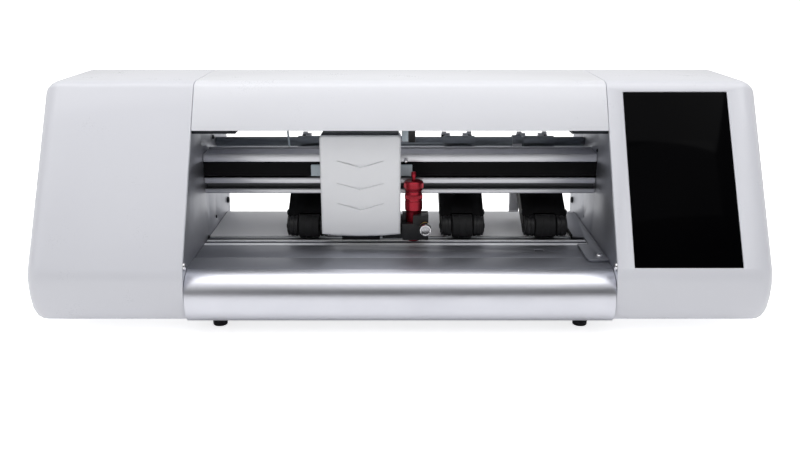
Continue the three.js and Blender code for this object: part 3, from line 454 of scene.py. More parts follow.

# finishes: two tones of colour, the range of roughness, grain, and edges in a second tone, partly wear and
# partly painted edge highlight;
# what most of them share comes first
finishShared = {"metal": 0, "stretch": (1, 1, 1), "coat": 0, "gloss": 0.5, "coatRough": 0.08,
                "spread": (0.3, 0.7)}
finishLooks = {
    "glossWhite": dict(
        slot="gloss_white", tones=((220, 221, 228), (219, 220, 227)), rough=(0.27, 0.29), grain=900,
        bump=(0.03, 0.00002), wearAndHighlightTone=(232, 232, 238), wearAndHighlight=0.3, coat=0.35),
    "bandWhite": dict(
        slot="gloss_white", tones=((232, 233, 239), (231, 232, 238)), rough=(0.27, 0.29), grain=900,
        bump=(0.03, 0.00002), wearAndHighlightTone=(240, 240, 246), wearAndHighlight=0.3, coat=0.35),
    "coverPaint": dict(
        slot="gloss_white", tones=((248, 249, 252), (245, 246, 250)), rough=(0.32, 0.42), grain=1400,
        bump=(0.08, 0.00004), wearAndHighlightTone=(240, 242, 246), wearAndHighlight=0.5, coat=0.1),
    "satinAluminium": dict(
        slot="satin_aluminium", tones=((222, 223, 230), (212, 213, 221)), metal=1, rough=(0.27, 0.38),
        grain=1900, bump=(0.5, 0.0001), wearAndHighlightTone=(245, 245, 250), wearAndHighlight=0.7),
    "brushedBeam": dict(
        slot="satin_aluminium", tones=((226, 226, 230), (212, 213, 218)), metal=1, rough=(0.3, 0.42),
        grain=3200, stretch=(0.015, 1, 1), bump=(0.25, 0.00006), wearAndHighlightTone=(235, 235, 240), wearAndHighlight=0.8),
    "steelSheet": dict(
        slot="steel_sheet", tones=((178, 180, 186), (160, 162, 170)), metal=1, rough=(0.38, 0.52),
        grain=1500, stretch=(1, 1, 0.3), bump=(0.2, 0.00006), wearAndHighlightTone=(230, 232, 238), wearAndHighlight=0.7),
    "machinedSteel": dict(
        slot="machined_steel", tones=((200, 200, 205), (180, 181, 186)), metal=1, rough=(0.22, 0.34),
        grain=3000, bump=(0.15, 0.00005), wearAndHighlightTone=(240, 240, 244), wearAndHighlight=0.6),
    "rodSteel": dict(
        slot="machined_steel", tones=((150, 155, 160), (132, 138, 144)), metal=1, rough=(0.3, 0.42),
        grain=2600, stretch=(0.05, 1, 1), bump=(0.15, 0.00004), wearAndHighlightTone=(190, 192, 198), wearAndHighlight=0.6),
    "darkMetal": dict(
        slot="dark_metal", tones=((52, 54, 58), (40, 42, 46)), metal=1, rough=(0.35, 0.5), grain=1800,
        bump=(0.2, 0.00005), wearAndHighlightTone=(120, 122, 128), wearAndHighlight=0.6),
    "blackPlastic": dict(
        slot="black_plastic", tones=((30, 30, 32), (22, 22, 24)), rough=(0.38, 0.55), grain=2200,
        bump=(0.3, 0.00008), wearAndHighlightTone=(84, 84, 88), wearAndHighlight=0.6),
    "palePlastic": dict(
        slot="pale_plastic", tones=((214, 226, 232), (204, 217, 224)), rough=(0.35, 0.5), grain=1600,
        bump=(0.15, 0.00006), wearAndHighlightTone=(236, 242, 246), wearAndHighlight=0.5),
    "softRubber": dict(
        slot="rubber", tones=((24, 24, 26), (17, 17, 19)), rough=(0.6, 0.8), grain=1500,
        bump=(0.4, 0.0001), wearAndHighlightTone=(60, 60, 62), wearAndHighlight=0.5),
    "beltRubber": dict(
        slot="rubber", gloss=0.15, tones=((18, 18, 20), (12, 12, 14)), rough=(0.6, 0.8), grain=2600,
        stretch=(0.08, 1, 1), bump=(0.4, 0.0001), wearAndHighlightTone=(50, 50, 54), wearAndHighlight=0.4),
    "motorSteel": dict(
        slot="motor_steel", tones=((70, 71, 75), (56, 57, 61)), metal=1, rough=(0.35, 0.5), grain=1200,
        stretch=(0.2, 1, 1), bump=(0.2, 0.00008), wearAndHighlightTone=(160, 160, 165), wearAndHighlight=0.7),
    "redAnodised": dict(
        slot="red_anodised", tones=((176, 34, 52), (150, 24, 42)), metal=0.85, rough=(0.24, 0.36),
        grain=2600, bump=(0.12, 0.00004), wearAndHighlightTone=(226, 120, 130), wearAndHighlight=0.6, coat=0.2),
    "brass": dict(
        slot="brass", tones=((214, 178, 106), (190, 152, 82)), metal=1, rough=(0.25, 0.4), grain=2200,
        bump=(0.15, 0.00005), wearAndHighlightTone=(244, 220, 160), wearAndHighlight=0.6),
    "chrome": dict(
        slot="chrome", tones=((226, 226, 228), (216, 216, 219)), metal=1, rough=(0.08, 0.16), grain=2600,
        bump=(0.05, 0.00003), wearAndHighlightTone=(250, 250, 250), wearAndHighlight=0.4),
    "displayGlass": dict(
        slot="display_glass", tones=((4, 4, 5), (2, 2, 3)), rough=(0.05, 0.09), grain=700,
        bump=(0.02, 0.00002), wearAndHighlightTone=(30, 30, 32), wearAndHighlight=0.1, gloss=0.02),
    "guideSteel": dict(
        slot="steel_sheet", tones=((252, 252, 254), (246, 247, 251)), rough=(0.42, 0.55), grain=1500,
        stretch=(0.3, 1, 1), bump=(0.15, 0.00006), wearAndHighlightTone=(245, 245, 248), wearAndHighlight=0.5),
    "tableAluminium": dict(
        slot="satin_aluminium", tones=((156, 158, 166), (146, 148, 156)), metal=1, rough=(0.48, 0.54),
        grain=3000, bump=(0.12, 0.00004), wearAndHighlightTone=(245, 245, 250), wearAndHighlight=0.7),
    # pale grey hook ends, painted lighter to stand in for light from behind
    "hookGrey": dict(
        slot="pale_plastic", tones=((238, 239, 242), (230, 232, 236)), rough=(0.4, 0.55), grain=1500,
        bump=(0.15, 0.00006), wearAndHighlightTone=(220, 222, 226), wearAndHighlight=0.5),
    "stripWhite": dict(
        slot="pale_plastic", tones=((244, 245, 250), (238, 240, 246)), rough=(0.3, 0.42), grain=1800,
        stretch=(0.2, 1, 1), bump=(0.15, 0.00005), wearAndHighlightTone=(240, 241, 246), wearAndHighlight=0.6, coat=0.1),
    "trackGrey": dict(
        slot="dark_metal", tones=((84, 86, 90), (74, 76, 80)), metal=0.2, rough=(0.4, 0.55), grain=2200,
        stretch=(0.02, 1, 1), bump=(0.2, 0.00006), wearAndHighlightTone=(120, 122, 126), wearAndHighlight=0.4),
    # white plastic, painted brighter still as painted light on a face that gets little light
    "leverWhite": dict(
        slot="pale_plastic", tones=((248, 249, 252), (244, 245, 249)), rough=(0.35, 0.5), grain=1600,
        bump=(0.1, 0.00004), wearAndHighlightTone=(250, 250, 252), wearAndHighlight=0.4, coat=0.1),
    "deepBlack": dict(
        slot="black_plastic", tones=((14, 14, 16), (9, 9, 10)), rough=(0.5, 0.7), grain=2200,
        bump=(0.2, 0.00006), wearAndHighlightTone=(40, 40, 42), wearAndHighlight=0.4, gloss=0.25),
    "boardGreen": dict(
        slot="board_green", tones=((28, 96, 62), (20, 78, 50)), rough=(0.35, 0.5), grain=1200,
        bump=(0.3, 0.00008), wearAndHighlightTone=(120, 140, 90), wearAndHighlight=0.4, coat=0.2),
}
finishes = {}


def makeFinish(name, look):
    look = {**finishShared, **look}
    material = bpy.data.materials.new(name)
    material.use_nodes = True
    tree, links = material.node_tree.nodes, material.node_tree.links
    surface = tree["Principled BSDF"]
    surface.inputs["Metallic"].default_value = look["metal"]
    surface.inputs["Coat Weight"].default_value = look["coat"]
    surface.inputs["Coat Roughness"].default_value = look["coatRough"]
    surface.inputs["Specular IOR Level"].default_value = look["gloss"]
    grain = tree.new("ShaderNodeGroup")
    grain.node_tree = grainNodes
    grain.inputs["Stretch"].default_value = look["stretch"]
    grain.inputs["Grain Scale"].default_value = look["grain"]
    edge = tree.new("ShaderNodeGroup")
    edge.node_tree = edgeWearAndHighlightNodes
    body = mixedColour(tree, links, grain.outputs["Cloud"], *[tone(*each) for each in look["tones"]])
    # edge colour: wear together with a painted edge highlight
    wearAndHighlight = maths(tree, links, "MULTIPLY", edge.outputs["Edge"], look["wearAndHighlight"])
    colour = mixedColour(tree, links, wearAndHighlight.outputs[0], body, tone(*look["wearAndHighlightTone"]))
    links.new(colour, surface.inputs["Base Color"])
    rough = tree.new("ShaderNodeMapRange")
    rough.inputs["From Min"].default_value, rough.inputs["From Max"].default_value = look["spread"]
    rough.inputs["To Min"].default_value, rough.inputs["To Max"].default_value = look["rough"]
    both = maths(tree, links, "ADD", grain.outputs["Grain"], grain.outputs["Cloud"])
    half = maths(tree, links, "MULTIPLY", both.outputs[0], 0.5)
    links.new(half.outputs[0], rough.inputs["Value"])
    links.new(rough.outputs[0], surface.inputs["Roughness"])
    bump = tree.new("ShaderNodeBump")
    bump.inputs["Strength"].default_value, bump.inputs["Distance"].default_value = look["bump"]
    links.new(grain.outputs["Grain"], bump.inputs["Height"])
    links.new(bump.outputs[0], surface.inputs["Normal"])
    return material


for finishName, finishLook in finishLooks.items():
    finishes[finishName] = makeFinish(finishName, finishLook)
print("finishes ready:", len(finishes))


def settled(piece, body, finish, *stoodFor):
    piece.data.materials.clear()
    piece.data.materials.append(finishes[finish])
    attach(piece, body)
    if stoodFor:
        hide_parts(*stoodFor)
    return piece


def trimmed(piece, bevel, body, finish):
    softened(piece, bevel)
    smoothed(piece)
    return settled(piece, body, finish)


# housing and sheet metal, reworked from the frame's own shapes

bodyOf = {node: body for body, members in frame["record"]["behaviour"]["bodies"].items()
          for node in members}
reworkedPieces = {
    "left_pod_cover": ("end_housing_left", "glossWhite", 0.5),
    "right_pod_cover": ("end_housing_right", "glossWhite", 0.5),
    "touch_panel": ("display_panel", "displayGlass", 0.35),
    "top_cover": ("top_housing", "bandWhite", 0.6),
    "cover_tab_left": ("corner_tab_left", "darkMetal", 0.4),
    "cover_tab_right": ("corner_tab_right", "darkMetal", 0.4),
    "left_side_plate": ("bay_plate_left", "steelSheet", 0.3),
    "right_side_plate": ("bay_plate_right", "steelSheet", 0.3),
    "front_nose": ("nose_extrusion", "satinAluminium", 0.3),
    "platen": ("table_plate", "tableAluminium", 0.3),
    "rear_guide_plate": ("rear_guide", "guideSteel", 0.4),
    "base_pan": ("bottom_pan", "steelSheet", 0.3),
    "media_sensor": ("film_sensor", "blackPlastic", 0.3),
    "edge_guide": ("film_edge_guide", "tableAluminium", 0.25),
    "gantry_beam": ("beam_extrusion", "brushedBeam", 0.35),
    "idler_bracket": ("idler_mount", "steelSheet", 0.3),
    "pinch_bracket_1": ("press_mount_1", "blackPlastic", 0.5),
    "pinch_bracket_2": ("press_mount_2", "blackPlastic", 0.5),
    "pinch_bracket_3": ("press_mount_3", "blackPlastic", 0.5),
    "pinch_arm_1": ("press_arm_1", "deepBlack", 0.5),
    "pinch_arm_2": ("press_arm_2", "deepBlack", 0.5),
    "pinch_arm_3": ("press_arm_3", "deepBlack", 0.5),
    # the lever's white is painted brighter as painted light, its face getting little light
    "lift_lever": ("lever_arm", "leverWhite", 0.5),
    "lift_rod": ("lifting_rod", "rodSteel", 0.25),
    "carriage_plate": ("carriage_back", "steelSheet", 0.3),
    "lift_coil": ("tool_coil", "darkMetal", 0.3),
    "tool_slide": ("tool_clamp", "blackPlastic", 0.5),
    "power_inlet": ("power_socket", "blackPlastic", 0.3),
    "switch_housing": ("switch_frame", "blackPlastic", 0.3),
    "switch_rocker": ("switch_key", "blackPlastic", 0.4),
    "main_board": ("control_board", "boardGreen", 0.15),
}


def painted(piece, finish, wanted):
    piece.data.materials.append(finishes[finish])
    index = len(piece.data.materials) - 1
    for face in piece.data.polygons:
        if wanted(face.center / mm, face.normal):
            face.material_index = index


# second finishes on part of a piece, by where a face lies (mm) and where it points
partFinishes = {
    # the finger ends are pale grey, painted lighter to stand in for light from behind
    "pinch_arm": ("hookGrey", lambda c, n: c.y > 84 and c.z > 104.5),  # ends of the two fingers
    "carriage_plate": ("deepBlack", lambda c, n: c.z < 74 and c.y < -8),  # foot
    "lift_lever": ("rodSteel", lambda c, n: c.z > 106),  # end on the rod
    "media_sensor": ("deepBlack", lambda c, n: n.z > 0.5),  # top
    # the nose's flat top is painted darker, like the table: painted shade standing in for its dim reflections
    "front_nose": ("tableAluminium", lambda c, n: n.z > 0.985),  # flat top, to match the table
}
cutAway = {
    "tool_slide": ("open_quarter", (-20, -40, 65.5), (9.8, -17.8, 90)),  # front left, shows the holder
    "cover_tab_right": ("tab_end", (100, -60, 120), (123.5, 60, 145)),
}
# the rear wall's outer side keeps its triangles: a dissolve would draw faces over its openings,
# as it still does on the wall's inner side
keptFaces = {"right_pod_cover": lambda c, n: n.y > 0.9 and c.y > 85}

for node, (name, finish, bevel) in reworkedPieces.items():
    piece = reworked(node, name, bevel, kept=keptFaces.get(node))
    settled(piece, bodyOf[node], finish, node)
    kind = node.rstrip("_123")  # the three arms are finished alike
    if kind in partFinishes:
        painted(piece, *partFinishes[kind])
    if node in cutAway:
        cutBy(piece, brick(*cutAway[node]))
print("reworked pieces:", len(reworkedPieces))

carriedOver = {
    "feed_gear": "brass", "feed_pinion": "machinedSteel", "feed_motor": "motorSteel",
    "carriage_motor": "motorSteel", "belt_drive_pulley": "machinedSteel",
    "belt_idler_pulley": "machinedSteel", "drive_bush_left": "darkMetal", "drive_bush_right": "darkMetal",
    "blade": "machinedSteel",
}
for node, finish in carriedOver.items():
    for slot in nodes[node].material_slots:
        slot.material = finishes[finish]
print("carried over:", len(carriedOver))

# rubber feet

footLook = {"sides": 40, "profile": [
    (1.6, 1.6), (1.6, 0.0), (4.8, 0.0), (5.2, 0.4), (5.3, 3.4), (5.1, 3.7), (5.15, 4.3), (5.4, 4.7),
    (5.5, 8.9), (5.2, 9.4), (4.9, 9.65), (2.0, 9.7), (1.8, 10.0), (1.8, 14.8), (1.6, 15.0)]}


def rubberFeet():
    low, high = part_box("foot_front_left")
    centre = (low + high) / 2 / mm
    first = turned("rubber_foot_front_left", footLook["profile"], (centre.x, centre.y, 0),
                   sides=footLook["sides"])
    smoothed(first)
    for spot in ("front_right", "rear_left", "rear_right"):
        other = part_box(f"foot_{spot}")
        shift = (other[0] + other[1]) / 2 / mm - centre
        foot = copied(first, f"rubber_foot_{spot}", (shift.x, shift.y, 0))
        settled(foot, "frame", "softRubber", f"foot_{spot}")
    settled(first, "frame", "softRubber", "foot_front_left")


rubberFeet()
print("feet")

# carriage cover with its three shallow chevrons

coverLook = {"wall": 2.2, "corner": 3.0, "crown": 1.6, "side": 0.4, "front": 2.0, "armSlot": (-23, 72),
             "chevrons": (108.8, 92.0, 76.6), "half": 17.2, "slope": 5.6, "line": 1.6, "tail": 0.3,
             "depth": 0.75, "lean": 0.45, "overcut": 0.6, "clear": 5}


def coverOutlineFlat(low, high, crown):
    left, right, bottom, top = low.x, high.x, low.z + crown, high.z
    middle, half = (left + right) / 2, (right - left) / 2
    corner, side = coverLook["corner"], coverLook["side"]
    points = []
    for step in range(13):  # bowed lower edge
        across = -1 + step / 6
        points.append((middle + across * (half - side), bottom - crown * (1 - across * across)))
    for u, v, start in ((right - corner, top - corner, 0), (left + corner, top - corner, 90)):
        for step in range(7):
            angle = math.radians(start + 15 * step)
            points.append((u + corner * math.cos(angle), v + corner * math.sin(angle)))
    return points


def chevronCutter(middle, height, front):
    half, slope, line = coverLook["half"], coverLook["slope"], coverLook["line"]
    ends = height + slope
    shape = [(middle - half, ends), (middle, height), (middle + half, ends),
             (middle + half, ends + coverLook["tail"]), (middle, height + line),
             (middle - half, ends + coverLook["tail"])]
    cutter = extruded("chevron", shape, "y", front - coverLook["overcut"], front + coverLook["depth"])
    for vertex in cutter.data.vertices:  # the groove's lower side slopes up to the face
        if vertex.co.y > front * mm:
            inward = 1 - abs(vertex.co.x - middle * mm) / (half * mm)
            vertex.co.z += coverLook["lean"] * line * mm * inward
    return cutter


def carriageCover():
    low, high = (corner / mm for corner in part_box("carriage_cover"))
    outline = coverOutlineFlat(low, high, coverLook["crown"])
    cover = extruded("carriage_hood", outline, "y", low.y, high.y)
    openMesh(cover)
    pickEdges(cover, lambda a, b: abs(a.y - low.y) < 0.01 and abs(b.y - low.y) < 0.01)
    bpy.ops.mesh.bevel(offset=coverLook["front"] * mm, segments=5, affect="EDGES")
    closeMesh()
    wall, clear = coverLook["wall"], coverLook["clear"]
    hollow = brick("hollow", (low.x + wall, low.y + wall, low.z - clear),
                   (high.x - wall, high.y + clear, high.z - wall))
    middle = (low.x + high.x) / 2
    slotFront, slotTop = coverLook["armSlot"]
    armSlot = brick("armSlot", (middle, slotFront, low.z - clear), (high.x + clear, high.y + clear, slotTop))
    grooves = [chevronCutter(middle, z, low.y) for z in coverLook["chevrons"]]
    cutBy(cover, hollow, armSlot, *grooves)
    smoothed(cover, 30)
    settled(cover, "carriage", "coverPaint", "carriage_cover")


carriageCover()
print("carriage cover")

# blade holder, cap, pin and thumb screw

holderLook = {"flutes": (33.3, 35.5, 0.22, 0.3), "profile": [
    (1.4, 24), (1.4, 0), (4.7, 0), (5.4, 0.8), (5.7, 2.2), (5.7, 22.6), (6.1, 23.4), (6.7, 24.4),
    (6.7, 30.6), (6.3, 30.9), (6.3, 31.6), (6.7, 31.9), (6.7, 33.2), (6.7, 35.6), (6.4, 36.4),
    (6.1, 36.9), (6.1, 38.4), (1.9, 38.4), (1.9, 26)]}
capLook = {"flutes": (2.5, 6.1, 0.14, 0.3), "profile": [
    (1.9, 0), (6.2, 0), (6.6, 0.4), (6.9, 1.6), (7.3, 2.4), (7.3, 6.2), (7.0, 6.8), (6.5, 7.4),
    (6.2, 7.5), (1.9, 7.5)]}
pinLook = {"profile": [(1.2, 0), (1.5, 0.4), (1.5, 19.5), (1.9, 19.9), (1.9, 22.4), (1.75, 23.2),
                       (1.3, 23.75), (0.6, 23.85)]}
knobLook = {"bore": (2.95, 6.2), "ring": (3.75, 0.55, 10.0), "profile": [
    (1.1, 0), (1.5, 0.5), (1.5, 7.8), (3.3, 7.8), (3.4, 8.1), (3.4, 10.6), (4.1, 10.7), (4.3, 11.0),
    (4.3, 17.9), (4.0, 18.45), (3.5, 18.5), (3.1, 18.2), (3.0, 12.6), (2.2, 12.5)]}


def toolAxis():
    low, high = (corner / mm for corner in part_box("blade_holder"))
    return (low.x + high.x) / 2, (low.y + high.y) / 2


def fluted(piece, foot, flutes):
    bottom, top, thickness, depth = flutes
    low, high = foot + bottom, foot + top
    openMesh(piece)
    pickFaces(piece, lambda c, n: low < c.z < high and abs(n.z) < 0.35)
    bpy.ops.mesh.inset(thickness=thickness * mm, depth=-depth * mm, use_individual=True)
    closeMesh()


def bladeHolder():
    x, y = toolAxis()
    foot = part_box("blade_holder")[0].z / mm
    holder = turned("knife_holder", holderLook["profile"], (x, y, foot), sides=40)
    fluted(holder, foot, holderLook["flutes"])
    smoothed(holder, 28)
    settled(holder, "tool", "redAnodised", "blade_holder")


def holderCap():
    x, y = toolAxis()
    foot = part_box("holder_cap")[0].z / mm
    cap = turned("depth_cap", capLook["profile"], (x, y, foot), sides=48, bored=True)
    fluted(cap, foot, capLook["flutes"])
    smoothed(cap, 28)
    settled(cap, "holder_cap", "redAnodised", "holder_cap")


def holderPin():
    x, y = toolAxis()
    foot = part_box("holder_pin")[0].z / mm
    pin = turned("push_pin", pinLook["profile"], (x, y, foot), sides=28)
    smoothed(pin, 40)
    settled(pin, "holder_pin", "redAnodised", "holder_pin")


def thumbScrew():
    low, high = (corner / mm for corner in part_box("thumb_screw"))
    x, z = (low.x + high.x) / 2, (low.z + high.z) / 2
    screw = turned("thumb_knob", knobLook["profile"], (x, high.y, z), axis="front", sides=40)
    smoothed(screw, 35)
    settled(screw, "thumb_screw", "chrome", "thumb_screw")
    radius, deep = knobLook["bore"]
    painted(screw, "machinedSteel",
            lambda c, n: math.hypot(c.x - x, c.z - z) < radius and c.y < low.y + deep)
    major, minor, behind = knobLook["ring"]
    clearPicks()
    bpy.ops.mesh.primitive_torus_add(major_radius=major * mm, minor_radius=minor * mm,
                                     major_segments=36, minor_segments=10,
                                     location=(x * mm, (high.y - behind) * mm, z * mm),
                                     rotation=(math.radians(90), 0, 0))
    ring = named("thumb_knob_ring")
    placed(ring)
    smoothed(ring, 60)
    settled(ring, "thumb_screw", "brass")


bladeHolder()
holderCap()
holderPin()
thumbScrew()
print("tool")

# wheels, press rollers and drive roller
pressMiddles = (-70.5, 48.3, 112.8)  # X of the three press units
wheelLook = {"sides": 40, "profile": [
    (1.5, 0.6), (3.0, 0.6), (3.0, 0.2), (3.9, 0.2), (3.9, 0), (5.5, 0), (6, 0.5), (6, 2.9), (5.2, 4.0),
    (5.2, 5.0), (6, 6.1), (6, 8.5), (5.5, 9), (3.9, 9), (3.9, 8.8), (3.0, 8.8), (3.0, 8.4), (1.5, 8.4)]}
pressLook = {"sides": 56, "profile": [
    (2.5, 0.9), (4.4, 0.9), (4.9, 0.2), (5.2, 0), (8.3, 0), (9, 0.7), (9, 4.9), (8.8, 5.1), (8.8, 5.5),
    (9, 5.7), (9, 10.0), (8.8, 10.2), (8.8, 10.6), (9, 10.8), (9, 15.0), (8.3, 15.7), (5.2, 15.7),
    (4.9, 15.5), (4.4, 14.8), (2.5, 14.8)]}
shaftLook = {"radii": (2.6, 3.0, 4.4, 4.7, 5.0), "chamfer": 0.4, "shoulder": 149.2, "core": 148.8,
             "grip": 12, "ramp": 12.4}


def carriageWheels():
    for side in ("left", "right", "low"):
        low, high = (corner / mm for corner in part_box(f"carriage_wheel_{side}"))
        centre = ((low.x + high.x) / 2, low.y, (low.z + high.z) / 2)
        wheel = turned(f"guide_wheel_{side}", wheelLook["profile"], centre, axis="y",
                       sides=wheelLook["sides"])
        smoothed(wheel, 35)
        settled(wheel, f"wheel_{side}", "palePlastic", f"carriage_wheel_{side}")


def pressRollers():
    for unit in (1, 2, 3):
        low, high = (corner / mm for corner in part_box(f"pinch_roller_{unit}"))
        centre = (low.x, (low.y + high.y) / 2, (low.z + high.z) / 2)
        roller = turned(f"press_roller_{unit}", pressLook["profile"], centre, axis="x",
                        sides=pressLook["sides"], bored=True)
        smoothed(roller, 35)
        settled(roller, f"pinch_roller_{unit}", "softRubber", f"pinch_roller_{unit}")


def driveRoller():
    low, high = (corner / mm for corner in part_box("drive_roller"))
    y, z = (low.y + high.y) / 2, (low.z + high.z) / 2
    tip, journal, collar, core, grip = shaftLook["radii"]
    chamfer, half, ramp = shaftLook["chamfer"], shaftLook["grip"], shaftLook["ramp"]
    outer, inner = shaftLook["shoulder"], shaftLook["core"]
    stops = [(tip, low.x), (journal, low.x + chamfer), (journal, -outer), (collar, -outer), (core, -inner)]
    for centre in pressMiddles:
        stops += [(core, centre - ramp), (grip, centre - half), (grip, centre + half), (core, centre + ramp)]
    stops += [(core, inner), (collar, outer), (journal, outer), (journal, high.x - chamfer), (tip, high.x)]
    profile = [(radius, x - low.x) for radius, x in stops]
    roller = turned("feed_shaft", profile, (low.x, y, z), axis="x", sides=40)
    smoothed(roller, 35)
    # darker steel than the machined finish: painted shade of the feed slot the roller sits in
    settled(roller, "drive_roller", "rodSteel", "drive_roller")


carriageWheels()
pressRollers()
driveRoller()
print("rollers and wheels")

# toothed belt

beltLook = {"left": -168, "right": 178, "outer": 6.75, "back": 0.75, "pitch": 2, "tooth": (1.0, 0.62),
            "lap": 0.05, "margin": 2, "inset": 0.2}


def toothedBelt():
    low, high = (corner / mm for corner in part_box("carriage_belt"))
    middleY, bottom, top = (low.y + high.y) / 2, low.z, high.z
    left, right, outer = beltLook["left"], beltLook["right"], beltLook["outer"]
    clearPicks()
    bpy.ops.mesh.primitive_circle_add(vertices=64, radius=outer * mm,
                                      location=(0, middleY * mm, bottom * mm))
    belt = named("drive_belt")
    placed(belt)
    for vertex in belt.data.vertices:
        vertex.co.x += (right if vertex.co.x > 0 else left) * mm
    openMesh(belt)
    bpy.ops.mesh.select_all(action="SELECT")
    bpy.ops.mesh.extrude_region_move(TRANSFORM_OT_translate={"value": (0, 0, (top - bottom) * mm)})
    closeOutward()
    applied(belt, "SOLIDIFY", thickness=beltLook["back"] * mm, offset=-1)
    width, depth = beltLook["tooth"]
    back = outer - beltLook["back"]
    lap, margin, inset = beltLook["lap"], beltLook["margin"], beltLook["inset"]
    rows = []
    for side, near, far in (("front", -back - lap, -back + depth), ("rear", back - depth, back + lap)):
        start = left + margin
        tooth = brick(f"tooth_{side}", (start, middleY + near, bottom + inset),
                      (start + width, middleY + far, top - inset))
        softened(tooth, 0.2, 1)
        count = int((right - left - 2 * margin) / beltLook["pitch"])
        applied(tooth, "ARRAY", count=count, use_relative_offset=False, use_constant_offset=True,
                constant_offset_displace=(beltLook["pitch"] * mm, 0, 0))
        rows.append(tooth)
    belt = joined(belt, *rows)
    smoothed(belt, 30)
    settled(belt, "frame", "beltRubber", "carriage_belt")


toothedBelt()
print("belt")

# belt clamp: two ribbed jaws on the bar
clampLook = {"cuts": 33, "jaw": 8, "rib": (0.25, 0.35)}


def beltClamp():
    low, high = (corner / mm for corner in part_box("belt_clamp"))
    bar = brick("belt_gripper", low, high)
    openMesh(bar)
    pickEdges(bar, lambda a, b: abs(a.y - b.y) < 0.01 and abs(a.z - b.z) < 0.01)
    bpy.ops.mesh.subdivide(number_cuts=clampLook["cuts"])
    jaw = clampLook["jaw"]
    pickFaces(bar, lambda c, n: n.y < -0.9 and (c.x < low.x + jaw or c.x > high.x - jaw))
    rim, deep = clampLook["rib"]
    bpy.ops.mesh.inset(thickness=rim * mm, depth=-deep * mm, use_individual=True)
    closeMesh()
    softened(bar, 0.25, 1, 60)
    smoothed(bar, 30)
    settled(bar, "carriage", "palePlastic", "belt_clamp")


beltClamp()
print("belt clamp")

# thin signal wire from the beam up into the top housing

wireLook = {"radius": 0.8, "points": [(-87, 20, 115.7), (-87.4, 20.6, 122), (-88.6, 22.4, 133),
                                      (-89.6, 23.8, 144), (-91, 24.6, 156), (-92, 25, 167.4)]}


def beamWire():
    wire = tube("signal_wire", wireLook["points"], wireLook["radius"], 4)
    smoothed(wire, 60)
    settled(wire, "frame", "palePlastic", "beam_cable")


beamWire()
print("wire")

# pan-head screws, modelled once and copied

screwLook = {"head": 2.6, "rise": 1.7, "cross": (2.9, 0.55), "deep": 0.8}
screwPlaces = {  # name: (place, axis, size, body)
    "nose_screw_left": ((-149.95, -85.2, 51.6), "x", 1.0, "frame"),
    "nose_screw_right": ((149.95, -85.2, 51.6), "left", 1.0, "frame"),
    "guide_screw": ((144.5, -55.5, 49.6), "z", 0.9, "frame"),
    "plate_screw_right_high": ((149.95, -4.5, 117.2), "left", 0.5, "frame"),
    "plate_screw_left_high": ((-149.95, 34.6, 120.6), "x", 0.7, "frame"),
    "plate_screw_left_rear": ((-149.95, 80.5, 56.9), "x", 1.05, "frame"),
    "plate_screw_left_low": ((-149.95, 30.6, 55.7), "x", 0.5, "frame"),
    "plate_screw_right_rear": ((149.95, 80.5, 56.9), "left", 1.05, "frame"),
    "rear_screw_left": ((-140, 89.9, 40), "y", 0.9, "frame"),
    "rear_screw_middle": ((0, 89.9, 40), "y", 0.9, "frame"),
    "rear_screw_right": ((140, 89.9, 40), "y", 0.9, "frame"),
    "carriage_screw_upper": ((4.5, -8.25, 109.9), "front", 0.55, "carriage"),
}


def panHead():
    head, rise = screwLook["head"], screwLook["rise"]
    profile = [(head, 0), (head, 0.35 * rise), (0.93 * head, 0.62 * rise), (0.76 * head, 0.84 * rise),
               (0.5 * head, 0.96 * rise), (0.2 * head, rise)]
    screw = turned("pan_head", profile, (0, 0, 0), sides=32)
    span, wall = screwLook["cross"]
    low, high = rise - screwLook["deep"], rise + 1
    along = brick("slotAlong", (-span / 2, -wall / 2, low), (span / 2, wall / 2, high))
    across = brick("slotAcross", (-wall / 2, -span / 2, low), (wall / 2, span / 2, high))
    cutBy(screw, along, across)
    smoothed(screw, 30)
    return screw


def screws():
    pattern = panHead()
    for name, (place, axis, size, body) in screwPlaces.items():
        screw = copied(pattern, name, (0, 0, 0))
        screw.scale = (size,) * 3
        screw.rotation_euler = [math.radians(a) for a in axisTurn[axis]]
        screw.location = Vector(place) * mm
        placed(screw)
        settled(screw, body, "darkMetal" if "plate" in name else "chrome")
    bpy.data.objects.remove(pattern)


screws()
print("screws:", len(screwPlaces))

# cutting strip with a bead along each edge

stripLook = {"bead": 5.0, "sink": 0.7, "lip": (-12.7, -9.2), "rise": 0.3, "side": 0.5, "seat": 0.4,
             "edge": (0.3, 3.8), "slotShadeRise": 0.15}


def cuttingStrip():
    low, high = (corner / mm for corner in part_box("cutting_strip"))
    bead, sink = stripLook["bead"], stripLook["sink"]
    outline = [(low.y, low.z), (high.y, low.z), (high.y, high.z - sink), (low.y + bead + 0.3, high.z - sink),
               (low.y + bead, high.z), (low.y + 0.2, high.z), (low.y, high.z - 0.1)]
    strip = extruded("cutting_mat_strip", outline, "x", low.x, high.x)
    smoothed(strip, 20)
    settled(strip, "frame", "stripWhite", "cutting_strip")
    # the sunk top behind the front bead is painted dark: painted shade in the groove
    painted(strip, "darkMetal", lambda c, n: c.y > low.y + bead and n.z > 0.5)
    front, back = stripLook["lip"]
    left, right, seat = low.x + stripLook["side"], high.x - stripLook["side"], high.z - stripLook["seat"]
    lip = brick("table_lip", (left, front, seat), (right, back, high.z + stripLook["rise"]))
    trimmed(lip, 0.2, "frame", "stripWhite")
    # a dark strip behind the lip: painted shade of the feed slot
    near, far = stripLook["edge"]
    edge = brick("slot_shade_strip", (left, back + near, seat), (right, back + far, high.z + stripLook["slotShadeRise"]))
    settled(edge, "frame", "darkMetal")


cuttingStrip()
print("cutting strip")

# dark wheel track in the beam's groove

